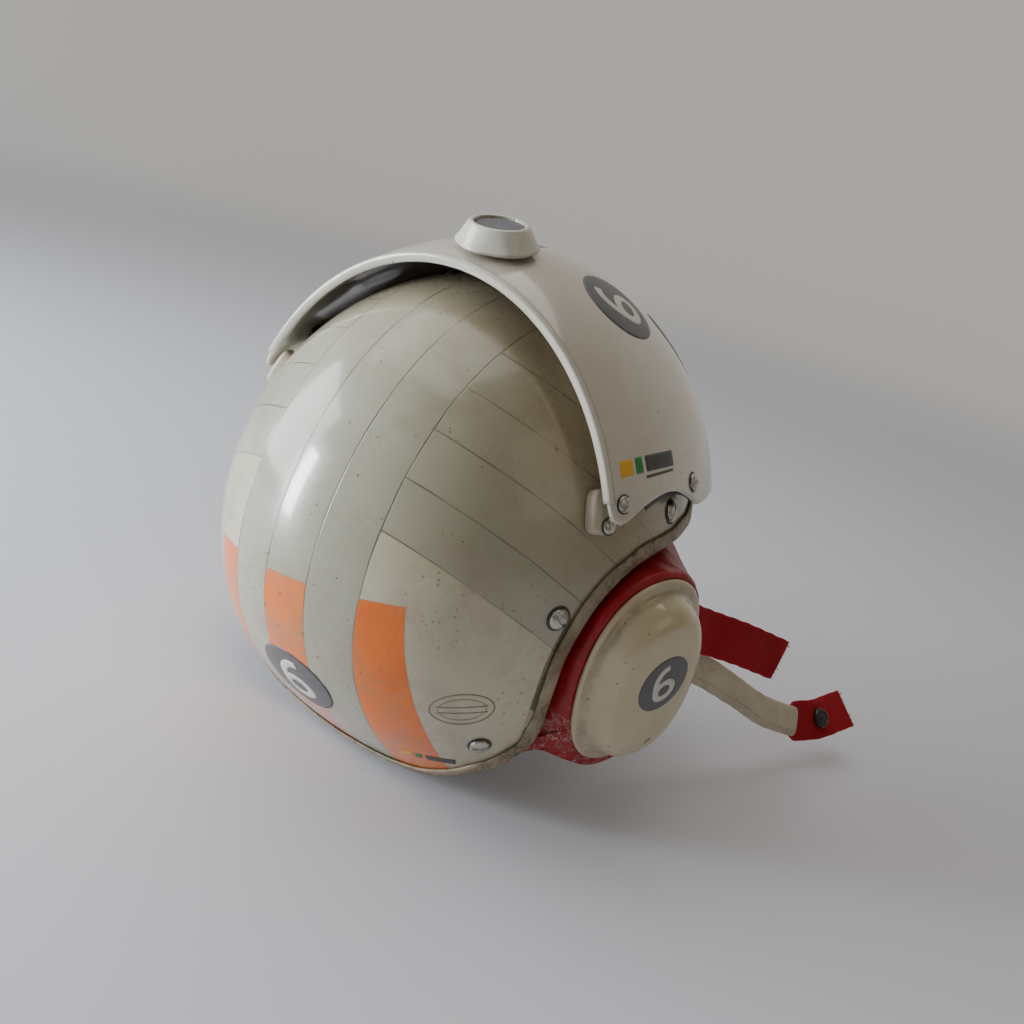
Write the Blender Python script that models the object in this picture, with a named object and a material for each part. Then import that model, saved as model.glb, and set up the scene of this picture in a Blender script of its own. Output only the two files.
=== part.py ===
# Aircrew style helmet with a raised visor housing, sliding visor, ear cups in
# padded side flaps and strap ends.  Every shape is written in millimetres and
# turned into metres when its mesh is made.
# +Z is up, -Y is the face side, -X is the wearer's right side.
import math

import bpy
import numpy as np

for _o in list(bpy.data.objects):
    bpy.data.objects.remove(_o, do_unlink=True)

MM = 0.001
GAP = 0.3

# ---------------------------------------------------------------- dimensions
SHELL_A, SHELL_B, SHELL_C = 120.0, 136.0, 136.0  # half width, half length, height above centre
SHELL_T = 3.0
TAPER_X, TAPER_Y = 0.09, 0.40  # drawing in of the skirt below the centre
MID_EL = 40.0
LOOP_HALF = 26

HOUSE_A, HOUSE_B, HOUSE_T = 131.0, 154.2, 2.6
HOUSE_FRONT = 151.5  # reach forward of the centre
RIM_Y = 57.5
LENS_A, LENS_B, LENS_T = 125.5, 146.0, 2.2
LENS_HALF = 103.0
ARM_B, ARM_T, ARM_HALF = 147.9, 1.5, 13.0
KNOB_ALPHA = 101.5  # degrees from the face direction, over the crown
VISOR_TRAVEL = 50.0

CUP_HALF_U, CUP_HALF_V = 38.9, 54.5
CUP_H = 19.5
CUP_CENTRE = np.array([-126.2, 10.8, -26.7])
CUP_NORMAL = np.array([-0.956, 0.280, -0.090])
CUP_LEAN = 10.0
FLAP_T = 3.0
SEAL_T = 16.0

WEB_W = 25.0
WEB_T = 2.0

# edge of the shell on the wearer's right, from the nape centre to the brow centre
EDGE = [
    (0, 62, -118), (-25, 62.5, -117), (-48, 62, -112.5), (-68, 63, -102), (-83, 61, -91),
    (-94, 57.5, -81), (-101, 53.5, -71), (-104.5, 54.5, -57), (-106, 57, -40), (-107, 58.5, -22),
    (-108, 57, -6), (-110, 51, 9), (-112.5, 42, 21), (-115, 28, 30), (-116, 10, 35), (-116, -10, 37),
    (-113, -31, 38.5), (-107, -51, 40), (-97, -71, 42), (-82, -92, 45), (-60, -111, 48), (-32, -125, 50),
    (0, -129, 51),
]
# lower edge of the visor housing, front lip centre to the rear corner
HOUSE_EDGE = [
    (0, -148, 53), (-40, -141, 54), (-76, -119, 56), (-101, -84, 57), (-116, -48, 57.5),
    (-122, -20, 58), (-121, -10, 62.5), (-119, 4, 67.5), (-118, 16, 68.5), (-117, 28, 66), (-116, 38, 62),
    (-115, 46, 57.5), (-113.5, 51.5, 55.5), (-112, 56, 58),
]

# ---------------------------------------------------------------- materials
MATS = {}


def mat(name, colour, rough, metal=0.0, alpha=1.0):
    if name in MATS:
        return MATS[name]
    m = bpy.data.materials.new(name)
    m.use_nodes = True
    b = m.node_tree.nodes["Principled BSDF"]
    b.inputs["Base Color"].default_value = (*colour, 1.0)
    b.inputs["Roughness"].default_value = rough
    b.inputs["Metallic"].default_value = metal
    if alpha < 1:
        b.inputs["Alpha"].default_value = alpha
    m.diffuse_color = (*colour, 1.0)
    MATS[name] = m
    return m


def unit(v):
    v = np.asarray(v, float)
    return v / np.linalg.norm(v, axis=-1, keepdims=True)


def make(name, verts, faces, material, origin=(0, 0, 0), smooth=True):
    v = np.asarray(verts, float)
    o = np.asarray(origin, float)
    vol = 0.0
    for f in faces:
        a = v[f[0]]
        for i in range(1, len(f) - 1):
            vol += np.dot(a, np.cross(v[f[i]], v[f[i + 1]]))
    if vol < 0:
        faces = [tuple(reversed(f)) for f in faces]
    me = bpy.data.meshes.new(name)
    me.from_pydata([tuple((p - o) * MM) for p in v], [], [tuple(int(i) for i in f) for f in faces])
    me.update()
    if smooth:
        for p in me.polygons:
            p.use_smooth = True
    ob = bpy.data.objects.new(name, me)
    ob.location = tuple(o * MM)
    if material:
        me.materials.append(material)
    bpy.context.scene.collection.objects.link(ob)
    return ob


def grid_solid(name, outer, inner, closed, pole, material, origin=(0, 0, 0), smooth=True):
    """outer and inner are (rows, columns, 3); with pole the last row is one point."""
    R, C = outer.shape[:2]
    verts, idx = [], np.zeros((2, R, C), int)
    for s, g in enumerate((outer, inner)):
        for r in range(R):
            if pole and r == R - 1:
                verts.append(g[r, 0])
                idx[s, r, :] = len(verts) - 1
                continue
            for c in range(C):
                verts.append(g[r, c])
                idx[s, r, c] = len(verts) - 1
    faces = []
    cc = range(C) if closed else range(C - 1)
    for s in (0, 1):
        for r in range(R - 1):
            for c in cc:
                d = (c + 1) % C
                q = [idx[s, r, c], idx[s, r, d], idx[s, r + 1, d], idx[s, r + 1, c]]
                if pole and r == R - 2:
                    q = q[:3]
                if s:
                    q = q[::-1]
                faces.append(tuple(q))
    for c in cc:
        d = (c + 1) % C
        faces.append((idx[0, 0, d], idx[0, 0, c], idx[1, 0, c], idx[1, 0, d]))
        if not pole:
            faces.append((idx[0, R - 1, c], idx[0, R - 1, d], idx[1, R - 1, d], idx[1, R - 1, c]))
    if not closed:
        for r in range(R - 1):
            faces.append((idx[0, r, 0], idx[0, r + 1, 0], idx[1, r + 1, 0], idx[1, r, 0]))
            faces.append((idx[0, r + 1, C - 1], idx[0, r, C - 1], idx[1, r, C - 1], idx[1, r + 1, C - 1]))
    return make(name, verts, faces, material, origin, smooth)


def frame_of(axis, hint=(0, 0, 1)):
    w = unit(axis)
    h = np.asarray(hint, float)
    if abs(np.dot(w, unit(h))) > 0.95:
        h = np.array([1.0, 0, 0])
    u = unit(np.cross(h, w))
    return u, np.cross(w, u), w


def lathe(name, profile, centre, axis, segs, material, origin=None, hint=(0, 0, 1), sx=1.0):
    """profile of (radius, height) from the axis round to the axis again."""
    u, v, w = frame_of(axis, hint)
    c = np.asarray(centre, float)
    verts, rings = [], []
    for r, h in profile:
        if r <= 1e-9:
            verts.append(c + w * h)
            rings.append([len(verts) - 1])
        else:
            ring = []
            for k in range(segs):
                t = 2 * math.pi * k / segs
                verts.append(c + w * h + r * (math.cos(t) * u * sx + math.sin(t) * v))
                ring.append(len(verts) - 1)
            rings.append(ring)
    faces = []
    n = len(rings)
    last = n if profile[0][0] > 1e-9 else n - 1
    for i in range(last):
        a, b = rings[i], rings[(i + 1) % n]
        for k in range(segs):
            d = (k + 1) % segs
            if len(a) == 1 and len(b) == 1:
                continue
            if len(a) == 1:
                faces.append((a[0], b[d], b[k]))
            elif len(b) == 1:
                faces.append((a[k], a[d], b[0]))
            else:
                faces.append((a[k], a[d], b[d], b[k]))
    return make(name, verts, faces, material, centre if origin is None else origin)


def box(name, centre, axes, half, material=None, origin=None):
    u, v, w = [unit(a) for a in axes]
    c = np.asarray(centre, float)
    verts = [c + i * half[0] * u + j * half[1] * v + k * half[2] * w for i in (-1, 1) for j in (-1, 1) for k in (-1, 1)]
    faces = [(0, 1, 3, 2), (4, 6, 7, 5), (0, 4, 5, 1), (2, 3, 7, 6), (0, 2, 6, 4), (1, 5, 7, 3)]
    return make(name, verts, faces, material, c if origin is None else origin, smooth=False)


def cut(target, cutter):
    cutter.hide_render = True
    cutter.display_type = "WIRE"
    m = target.modifiers.new("cut", "BOOLEAN")
    m.operation = "DIFFERENCE"
    m.solver = "EXACT"
    m.object = cutter


N_CUT = [0]


def hole(targets, centre, axis, radius, depth, segs=8):
    N_CUT[0] += 1
    c = lathe(
        "cutter_hole_%02d" % N_CUT[0],
        [(0, -depth), (radius, -depth), (radius, depth), (0, depth)],
        centre, axis, segs, None,
    )
    for t in targets:
        cut(t, c)


def smooth_curve(pts, n, closed=False):
    """n+1 points at even spacing along a Catmull-Rom curve through pts."""
    p = np.asarray(pts, float)
    if closed:
        e = np.vstack([p[-1], p, p[0], p[1]])
    else:
        e = np.vstack([2 * p[0] - p[1], p, 2 * p[-1] - p[-2]])
    out = []
    for i in range(1, len(e) - 2):
        for t in np.linspace(0, 1, 12, endpoint=False):
            a, b, c, d = e[i - 1], e[i], e[i + 1], e[i + 2]
            out.append(0.5 * (2 * b + (c - a) * t + (2 * a - 5 * b + 4 * c - d) * t * t + (3 * b - a - 3 * c + d) * t**3))
    out.append(e[-2])
    out = np.array(out)
    s = np.concatenate([[0], np.cumsum(np.linalg.norm(np.diff(out, axis=0), axis=1))])
    q = np.linspace(0, s[-1], n + 1)
    return np.stack([np.interp(q, s, out[:, i]) for i in range(3)], 1)


MIRROR = np.array([-1.0, 1.0, 1.0])

# ---------------------------------------------------------------- shell surface


def shell_value(p):
    s = np.clip(-p[..., 2], 0, None) / 100
    z = np.clip(p[..., 2], 0, None)
    return (p[..., 0] / (SHELL_A * (1 - TAPER_X * s * s))) ** 2 + (p[..., 1] / (SHELL_B * (1 - TAPER_Y * s * s))) ** 2 + (z / SHELL_C) ** 2 - 1


def shell_point(d, off=0.0):
    d = unit(d)
    lo, hi = np.full(d.shape[:-1], 60.0), np.full(d.shape[:-1], 150.0)
    for _ in range(40):
        m = (lo + hi) / 2
        inside = shell_value(m[..., None] * d) < 0
        lo, hi = np.where(inside, m, lo), np.where(inside, hi, m)
    p = lo[..., None] * d
    return p + off * shell_normal(p)


def shell_normal(p):
    g = np.zeros_like(p)
    for i in range(3):
        e = np.zeros(3)
        e[i] = 0.05
        g[..., i] = shell_value(p + e) - shell_value(p - e)
    return unit(g)


def dir_of(az, el):
    az, el = np.radians(az), np.radians(el)
    return np.stack([-np.sin(az) * np.cos(el), np.cos(az) * np.cos(el), np.sin(el)], -1)


def az_el(p):
    p = np.asarray(p, float)
    return np.degrees(np.arctan2(-p[..., 0], p[..., 1])) % 360, np.degrees(np.arctan2(p[..., 2], np.hypot(p[..., 0], p[..., 1])))


half = smooth_curve(EDGE, LOOP_HALF)
half[0, 0] = half[-1, 0] = 0
loop = np.vstack([half, (half * MIRROR)[-2:0:-1]])
NL = len(loop)
E_AZ, E_EL = az_el(loop)
E_AZ[0] = 0.0
E_AZ[LOOP_HALF] = 180.0
M_AZ = 360.0 * np.arange(NL) / NL
M_EL = np.full(NL, MID_EL)


def shell_rows(fractions, cap_rows, off, az, el, first=None):
    """rows of points from a loop near the edge up to the crown."""
    rows = [] if first is None else [shell_point(dir_of(first[0], first[1]), off)]
    for f in fractions:
        rows.append(shell_point(dir_of(az + (M_AZ - az) * f, el + (M_EL - el) * f), off))
    for k in range(1, cap_rows + 1):
        e = MID_EL + (90 - MID_EL) * k / cap_rows
        rows.append(shell_point(dir_of(M_AZ, np.full(NL, min(e, 90.0))), off))
    rows[-1][:] = shell_point(np.array([[0, 0, 1.0]]), off)[0]
    return np.array(rows)


edge = shell_point(dir_of(E_AZ, E_EL))
nrm = shell_normal(edge)
tang = unit(np.roll(edge, -1, 0) - np.roll(edge, 1, 0))
into = unit(np.cross(nrm, tang))
if into[0, 2] < 0:
    into = -into
nrm_t = unit(nrm - np.sum(nrm * into, 1)[:, None] * into)


def inset_loop(mm):
    a, e = az_el(edge + into * mm)
    a[0] = 0.0
    return a, e


F = np.linspace(0, 1, 6)
FIRST = inset_loop(8.0)
shell_mat = mat("shell_paint", (0.62, 0.62, 0.60), 0.38)
outer = shell_rows(F, 4, 0.0, *FIRST, first=(E_AZ, E_EL))
inner = shell_rows(F, 4, -SHELL_T, *FIRST, first=(E_AZ, E_EL))
outer_shell = grid_solid("outer_shell", outer, inner, True, True, shell_mat)

# trim: a channel pressed over the edge
section = [(5.8, 0.5), (-0.4, 0.5), (-0.4, -3.7), (5.4, -3.7), (5.4, -4.9), (-1.2, -4.9), (-2.2, -3.7), (-2.2, 0.5), (-1.0, 1.8), (5.2, 1.85), (5.8, 1.5)]
ring = np.array([outer[0] + into * m + nrm_t * h for m, h in section])
verts = ring.transpose(1, 0, 2).reshape(-1, 3)
S = len(section)
faces = [(k * S + i, k * S + (i + 1) % S, ((k + 1) % NL) * S + (i + 1) % S, ((k + 1) % NL) * S + i) for k in range(NL) for i in range(S)]
edge_trim = make("edge_trim", verts, faces, mat("trim_vinyl", (0.30, 0.25, 0.18), 0.6))

# liner and pads
LINER_OUT, LINER_T = -SHELL_T - 2.6, 11.0
lf = (0, 0.2, 0.4, 0.6, 0.8, 1)
LIN = inset_loop(17.0)
grid_solid("foam_liner", shell_rows(lf, 4, LINER_OUT, *LIN), shell_rows(lf, 4, LINER_OUT - LINER_T, *LIN), True, True, mat("liner_foam", (0.16, 0.16, 0.17), 0.85))
PAD = LINER_OUT - LINER_T - 2.4


def pad(name, az0, el0, daz, de, thick, material, power=3.0, cols=16, off=PAD):
    t = 2 * np.pi * np.arange(cols) / cols
    cu = np.sign(np.cos(t)) * np.abs(np.cos(t)) ** (2 / power)
    cv = np.sign(np.sin(t)) * np.abs(np.sin(t)) ** (2 / power)
    o, i = [], []
    for s, drop in ((1.0, 2.5), (0.84, 0.0), (0.0, 0.0)):
        d = dir_of(az0 + daz * cu * s, el0 + de * cv * s)
        o.append(shell_point(d, off))
        i.append(shell_point(d, off - thick + drop))
    return grid_solid(name, np.array(o), np.array(i), True, True, material)


pad_mat = mat("pad_leather", (0.11, 0.10, 0.09), 0.6)
tt = np.linspace(62, 90, 4)
cap_o = np.array([shell_point(dir_of(np.arange(20) * 18.0, np.full(20, min(e, 89.999))), PAD) for e in tt])
cap_i = np.array([shell_point(dir_of(np.arange(20) * 18.0, np.full(20, min(e, 89.999))), PAD - 9 + dd) for e, dd in zip(tt, (2.5, 0.5, 0, 0))])
cap_o[-1][:] = cap_o[-1].mean(0)
cap_i[-1][:] = cap_i[-1].mean(0)
grid_solid("crown_pad", cap_o, cap_i, True, True, pad_mat)
pad("brow_pad", 180, 42, 52, 9, 9, pad_mat, 4.0)
pad("nape_pad", 0, -25, 36, 17, 11, pad_mat, 3.5)
pad("temple_pad_right", 100, 41, 20, 9, 9, pad_mat, 3.5)
pad("temple_pad_left", 260, 41, 20, 9, 9, pad_mat, 3.5)
pad("rear_pad", 0, 26, 46, 15, 9, pad_mat, 3.5)

# ---------------------------------------------------------------- visor housing


def rev_point(d, a, b, off=0.0):
    d = unit(d)
    f = np.where(d[..., 1] < 0, HOUSE_FRONT, b)
    r = 1 / np.sqrt((d[..., 0] / a) ** 2 + (d[..., 1] / f) ** 2 + (d[..., 2] / b) ** 2)
    p = r[..., None] * d
    return p + off * rev_normal(p, a, b)


def rev_normal(p, a, b):
    f = np.where(p[..., 1] < 0, HOUSE_FRONT, b)
    return unit(np.stack([p[..., 0] / a**2, p[..., 1] / f**2, p[..., 2] / b**2], -1))


rim_half = []
for x in (-110.5, -108.5, -105, -98, -88, -75, -60, -42, -22, 0):
    rho = HOUSE_B * math.sqrt(1 - (x / HOUSE_A) ** 2)
    yy = RIM_Y if x > -108 else RIM_Y - (-108 - x) * 0.4
    rim_half.append((x, yy, math.sqrt(rho * rho - yy * yy)))
low = smooth_curve(HOUSE_EDGE, 20)
rim = smooth_curve(rim_half, 14)
low[0, 0] = 0
rim[-1, 0] = 0
hhalf = np.vstack([low, rim])
hloop = np.vstack([hhalf, (hhalf * MIRROR)[-2:0:-1]])
NH = len(hloop)
RIM0, RIM1 = len(low), len(hhalf) - 1
pole_dir = unit(np.array([0, -0.42, 0.91]))
bd = unit(hloop)


def slerp(a, b, t):
    a = np.broadcast_to(a, b.shape)
    w = np.arccos(np.clip(np.sum(a * b, -1), -1, 1))[..., None]
    return (np.sin((1 - t) * w) * a + np.sin(t * w) * b) / np.sin(w)


hrows = [1.0, 0.95, 0.84, 0.72, 0.59, 0.46, 0.33, 0.20, 0.09]
ho = [rev_point(slerp(pole_dir, bd, t), HOUSE_A, HOUSE_B) for t in hrows]
hi = [rev_point(slerp(pole_dir, bd, t), HOUSE_A, HOUSE_B, -HOUSE_T) for t in hrows]
ho.append(np.repeat(rev_point(pole_dir[None], HOUSE_A, HOUSE_B), NH, 0))
hi.append(np.repeat(rev_point(pole_dir[None], HOUSE_A, HOUSE_B, -HOUSE_T), NH, 0))
ho, hi = np.array(ho), np.array(hi)
visor_housing = grid_solid("visor_housing", ho, hi, True, True, mat("housing_gloss", (0.78, 0.77, 0.74), 0.18))

# bead along the rear rim, corner to corner over the crown
ri = list(range(RIM0 + 1, RIM1 + 1)) + [NH - k for k in range(RIM1 - 1, RIM0, -1)]
rp = ho[0][ri]
rn = rev_normal(rp, HOUSE_A, HOUSE_B)
rt = unit(np.gradient(rp, axis=0))
rm = ho[1][ri] - rp
rm = unit(rm - np.sum(rm * rt, 1)[:, None] * rt)
rn = unit(rn - np.sum(rn * rm, 1)[:, None] * rm)
section = [(2.1, 0.3), (-0.3, 0.3), (-0.3, -2.95), (1.9, -2.95), (1.9, -3.7), (-0.8, -3.7), (-1.4, -2.6), (-1.4, 0.2), (-0.7, 1.0), (1.7, 1.1), (2.1, 0.8)]
S = len(section)
ring = np.array([rp + rm * m + rn * h for m, h in section]).transpose(1, 0, 2)
verts = ring.reshape(-1, 3)
K = len(rp)
faces = [(k * S + i, k * S + (i + 1) % S, (k + 1) * S + (i + 1) % S, (k + 1) * S + i) for k in range(K - 1) for i in range(S)]
faces += [tuple(range(S))[::-1], tuple((K - 1) * S + i for i in range(S))]
make("housing_rim_trim", verts, faces, mat("rim_bead", (0.66, 0.64, 0.58), 0.35))

# slot for the knob stud along the centre line of the housing
ka = math.radians(KNOB_ALPHA)
cutter_slot = box("cutter_slot", (0, (38.0 - 110.0) / 2, 150), ((1, 0, 0), (0, 1, 0), (0, 0, 1)), (4.6, (38.0 + 110.0) / 2, 60))
cut(visor_housing, cutter_slot)


def rev_patch(name, x0, x1, lo, hi_, ao, bo, ai, bi, nx, na, material, origin=(0, 0, 0)):
    """sheet between two surfaces turned about the X axis; lo and hi_ give the angle at x."""
    def grid(a, b):
        rows = []
        for j in range(na + 1):
            row = []
            for i in range(nx + 1):
                x = x0 + (x1 - x0) * i / nx
                al = math.radians(lo(x) + (hi_(x) - lo(x)) * j / na)
                rho = b * math.sqrt(1 - (x / a) ** 2)
                row.append((x, -rho * math.cos(al), rho * math.sin(al)))
            rows.append(row)
        return np.array(rows)
    return grid_solid(name, grid(ao, bo), grid(ai, bi), False, False, material, origin)


def lens_low(x):
    rho = LENS_B * math.sqrt(1 - (x / LENS_A) ** 2)
    z = 58.0 + 5.0 * math.exp(-((x / 17.0) ** 2))
    return math.degrees(math.asin(min(z / rho, 1)))


rev_patch("visor_lens", -LENS_HALF, LENS_HALF, lens_low, lambda x: 82.0 - 6 * (x / LENS_HALF) ** 2,
          LENS_A, LENS_B, LENS_A - LENS_T, LENS_B - LENS_T, 18, 5, mat("smoked_lens", (0.05, 0.05, 0.055), 0.06))
rev_patch("slide_arm", -ARM_HALF, ARM_HALF, lambda x: 70.0, lambda x: 106.0,
          128.0, ARM_B, 126.0, ARM_B - ARM_T, 2, 9, mat("arm_plate", (0.55, 0.55, 0.56), 0.35, 1.0))
for side, s in (("right", -1), ("left", 1)):
    rev_patch("side_guide_" + side, s * 106.0, s * 111.5, lambda x: 62.0 if abs(x) > 108 else 62.0, lambda x: 112.0,
              127.8, 149.0, 123.2, 143.0, 1, 8, mat("guide_plastic", (0.10, 0.10, 0.10), 0.5))

kn = np.array([0, -math.cos(ka), math.sin(ka)])
stud_mat = mat("stud_steel", (0.62, 0.62, 0.63), 0.3, 1.0)
lathe("knob_stud", [(0, 148.3), (7.2, 148.3), (7.2, 149.3), (3.8, 149.3), (3.8, 154.4), (0, 154.4)], (0, 0, 0), kn, 14, stud_mat, origin=(0, 0, 0))
lathe("lock_knob", [(0, 154.9), (20.0, 154.9), (21.0, 155.7), (21.0, 157.1), (19.6, 158.9), (15.8, 165.3), (14.6, 166.7), (13.2, 166.9), (12.5, 166.1), (12.3, 163.6), (0, 163.6)],
      (0, 0, 0), kn, 28, mat("knob_plastic", (0.72, 0.70, 0.64), 0.32), origin=kn * 154.7)
lathe("knob_inset", [(0, 163.9), (11.9, 163.9), (11.9, 164.8), (10.9, 165.2), (0, 165.3)], (0, 0, 0), kn, 20, mat("inset_grey", (0.16, 0.16, 0.18), 0.4), origin=kn * 154.7)

# ---------------------------------------------------------------- fasteners
steel = mat("screw_steel", (0.60, 0.59, 0.56), 0.32, 1.0)
black = mat("snap_black", (0.03, 0.03, 0.03), 0.35)


def screw(name, p, n, r, h, shank_r, shank, material=steel, lift=GAP, slot=True, segs=12):
    prof = [(0, -shank), (shank_r, -shank), (shank_r, lift), (r, lift), (r, lift + h * 0.35), (r * 0.7, lift + h * 0.88), (0, lift + h)]
    o = lathe(name, prof, p, n, segs, material)
    if slot:
        N_CUT[0] += 1
        u, v, w = frame_of(n)
        d = unit(0.8 * u + 0.6 * v)
        c = box("cutter_slit_%02d" % N_CUT[0], np.asarray(p) + w * (lift + h), (d, np.cross(w, d), w), (r * 1.3, 0.45, h * 0.45))
        cut(o, c)
    return o


def on_shell(p):
    q = shell_point(np.asarray(p, float)[None])[0]
    return q, shell_normal(q[None])[0]


def on_house(p):
    q = rev_point(np.asarray(p, float)[None], HOUSE_A, HOUSE_B)[0]
    return q, rev_normal(q[None], HOUSE_A, HOUSE_B)[0]


BR_T = 6.6
for side, s in (("right", 1.0), ("left", -1.0)):
    m = np.array([s, 1.0, 1.0])
    # plate that carries the rear corner of the housing
    baz, bel = az_el(np.array([-102.0, 52.0, 57.0]))
    t = 2 * np.pi * np.arange(20) / 20
    cu = np.sign(np.cos(t)) * np.abs(np.cos(t)) ** 0.5
    cv = np.sign(np.sin(t)) * np.abs(np.sin(t)) ** 0.5
    o, i = [], []
    for sc, dr in ((1.0, 1.6), (0.8, 0.0), (0.0, 0.0)):
        d = dir_of(baz + 3.3 * cu * sc, bel + 4.6 * cv * sc)
        o.append(shell_point(d, BR_T - dr) * m)
        i.append(shell_point(d, 0.45) * m)
    br = grid_solid("bracket_" + side, np.array(o), np.array(i), True, True, mat("bracket_plastic", (0.56, 0.52, 0.42), 0.45))

    p, n = on_house((-112.6, 50.0, 64.8))
    hole([visor_housing], p * m, n * m, 2.2, 5)
    screw("housing_rear_screw_" + side, p * m, n * m, 3.8, 1.8, 1.7, 3.4, slot=False)
    p, n = on_house((-121.0, -12.0, 71.0))
    hole([visor_housing], p * m, n * m, 2.2, 5)
    screw("housing_front_screw_" + side, p * m, n * m, 4.3, 1.9, 1.7, 3.4, slot=False)
    p, n = on_shell((-103.5, 50.0, 50.5))
    screw("bracket_screw_" + side, (p + n * BR_T) * m, n * m, 3.6, 1.7, 1.6, -0.35, slot=False)
    p, n = on_shell((-110.8, -10.0, 50.5))
    hole([outer_shell], p * m, n * m, 2.3, 5)
    screw("temple_screw_" + side, p * m, n * m, 5.4, 2.2, 1.8, 3.2)
    p, n = on_shell((-106.0, 62.0 + 6, 7.0))
    hole([outer_shell], p * m, n * m, 2.3, 5)
    screw("ear_snap_" + side, p * m, n * m, 5.2, 3.2, 1.8, 3.2)
    p, n = on_shell((-87.0, 73.5, -72.0))
    hole([outer_shell], p * m, n * m, 2.3, 5)
    screw("nape_screw_" + side, p * m, n * m, 4.9, 2.4, 1.8, 3.2)

# ---------------------------------------------------------------- ear assemblies
cn = unit(CUP_NORMAL)
cu0 = unit(np.array([0, 1.0, 0]) - cn * cn[1])
cv0 = np.cross(cn, cu0)
if cv0[2] < 0:
    cv0 = -cv0
la = math.radians(CUP_LEAN)
CU = math.cos(la) * cu0 - math.sin(la) * cv0
CV = math.sin(la) * cu0 + math.cos(la) * cv0
if CV[2] < 0:
    CV = -CV
SEG = 28
# rear edge line that each ear assembly swings about
HINGE_A = np.array([-104.0, 55.5, -66.0])
HINGE_B = np.array([-108.5, 57.0, 2.0])
HINGE_P = (HINGE_A + HINGE_B) / 2

white_cup = mat("cup_gloss", (0.72, 0.69, 0.60), 0.2)
seal_mat = mat("seal_vinyl", (0.04, 0.04, 0.04), 0.5)
red_vinyl = mat("flap_vinyl", (0.42, 0.02, 0.03), 0.35)


def cup_pt(su, sv, w):
    return CUP_CENTRE + CU * su + CV * sv + cn * w


def cup_ring(name, profile, segs, material, m, origin, closed_profile=False, du=0.0, dv=0.0):
    """profile of (du, dv, w) half sizes from the axis round to the axis, or a closed ring."""
    verts, rings = [], []
    for a, b, w in profile:
        if a <= 1e-9:
            verts.append(cup_pt(du, dv, w) * m)
            rings.append([len(verts) - 1])
        else:
            r = []
            for k in range(segs):
                t = 2 * math.pi * k / segs
                c, s = math.cos(t), math.sin(t)
                e = 2 / 2.25
                verts.append(cup_pt(du + a * math.copysign(abs(c) ** e, c), dv + b * math.copysign(abs(s) ** e, s), w) * m)
                r.append(len(verts) - 1)
            rings.append(r)
    n = len(rings)
    faces = []
    for i in range(n if closed_profile else n - 1):
        a, b = rings[i], rings[(i + 1) % n]
        for k in range(segs):
            d = (k + 1) % segs
            if len(a) == 1:
                faces.append((a[0], b[d], b[k]))
            elif len(b) == 1:
                faces.append((a[k], a[d], b[0]))
            else:
                faces.append((a[k], a[d], b[d], b[k]))
    return make(name, verts, faces, material, origin)


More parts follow.
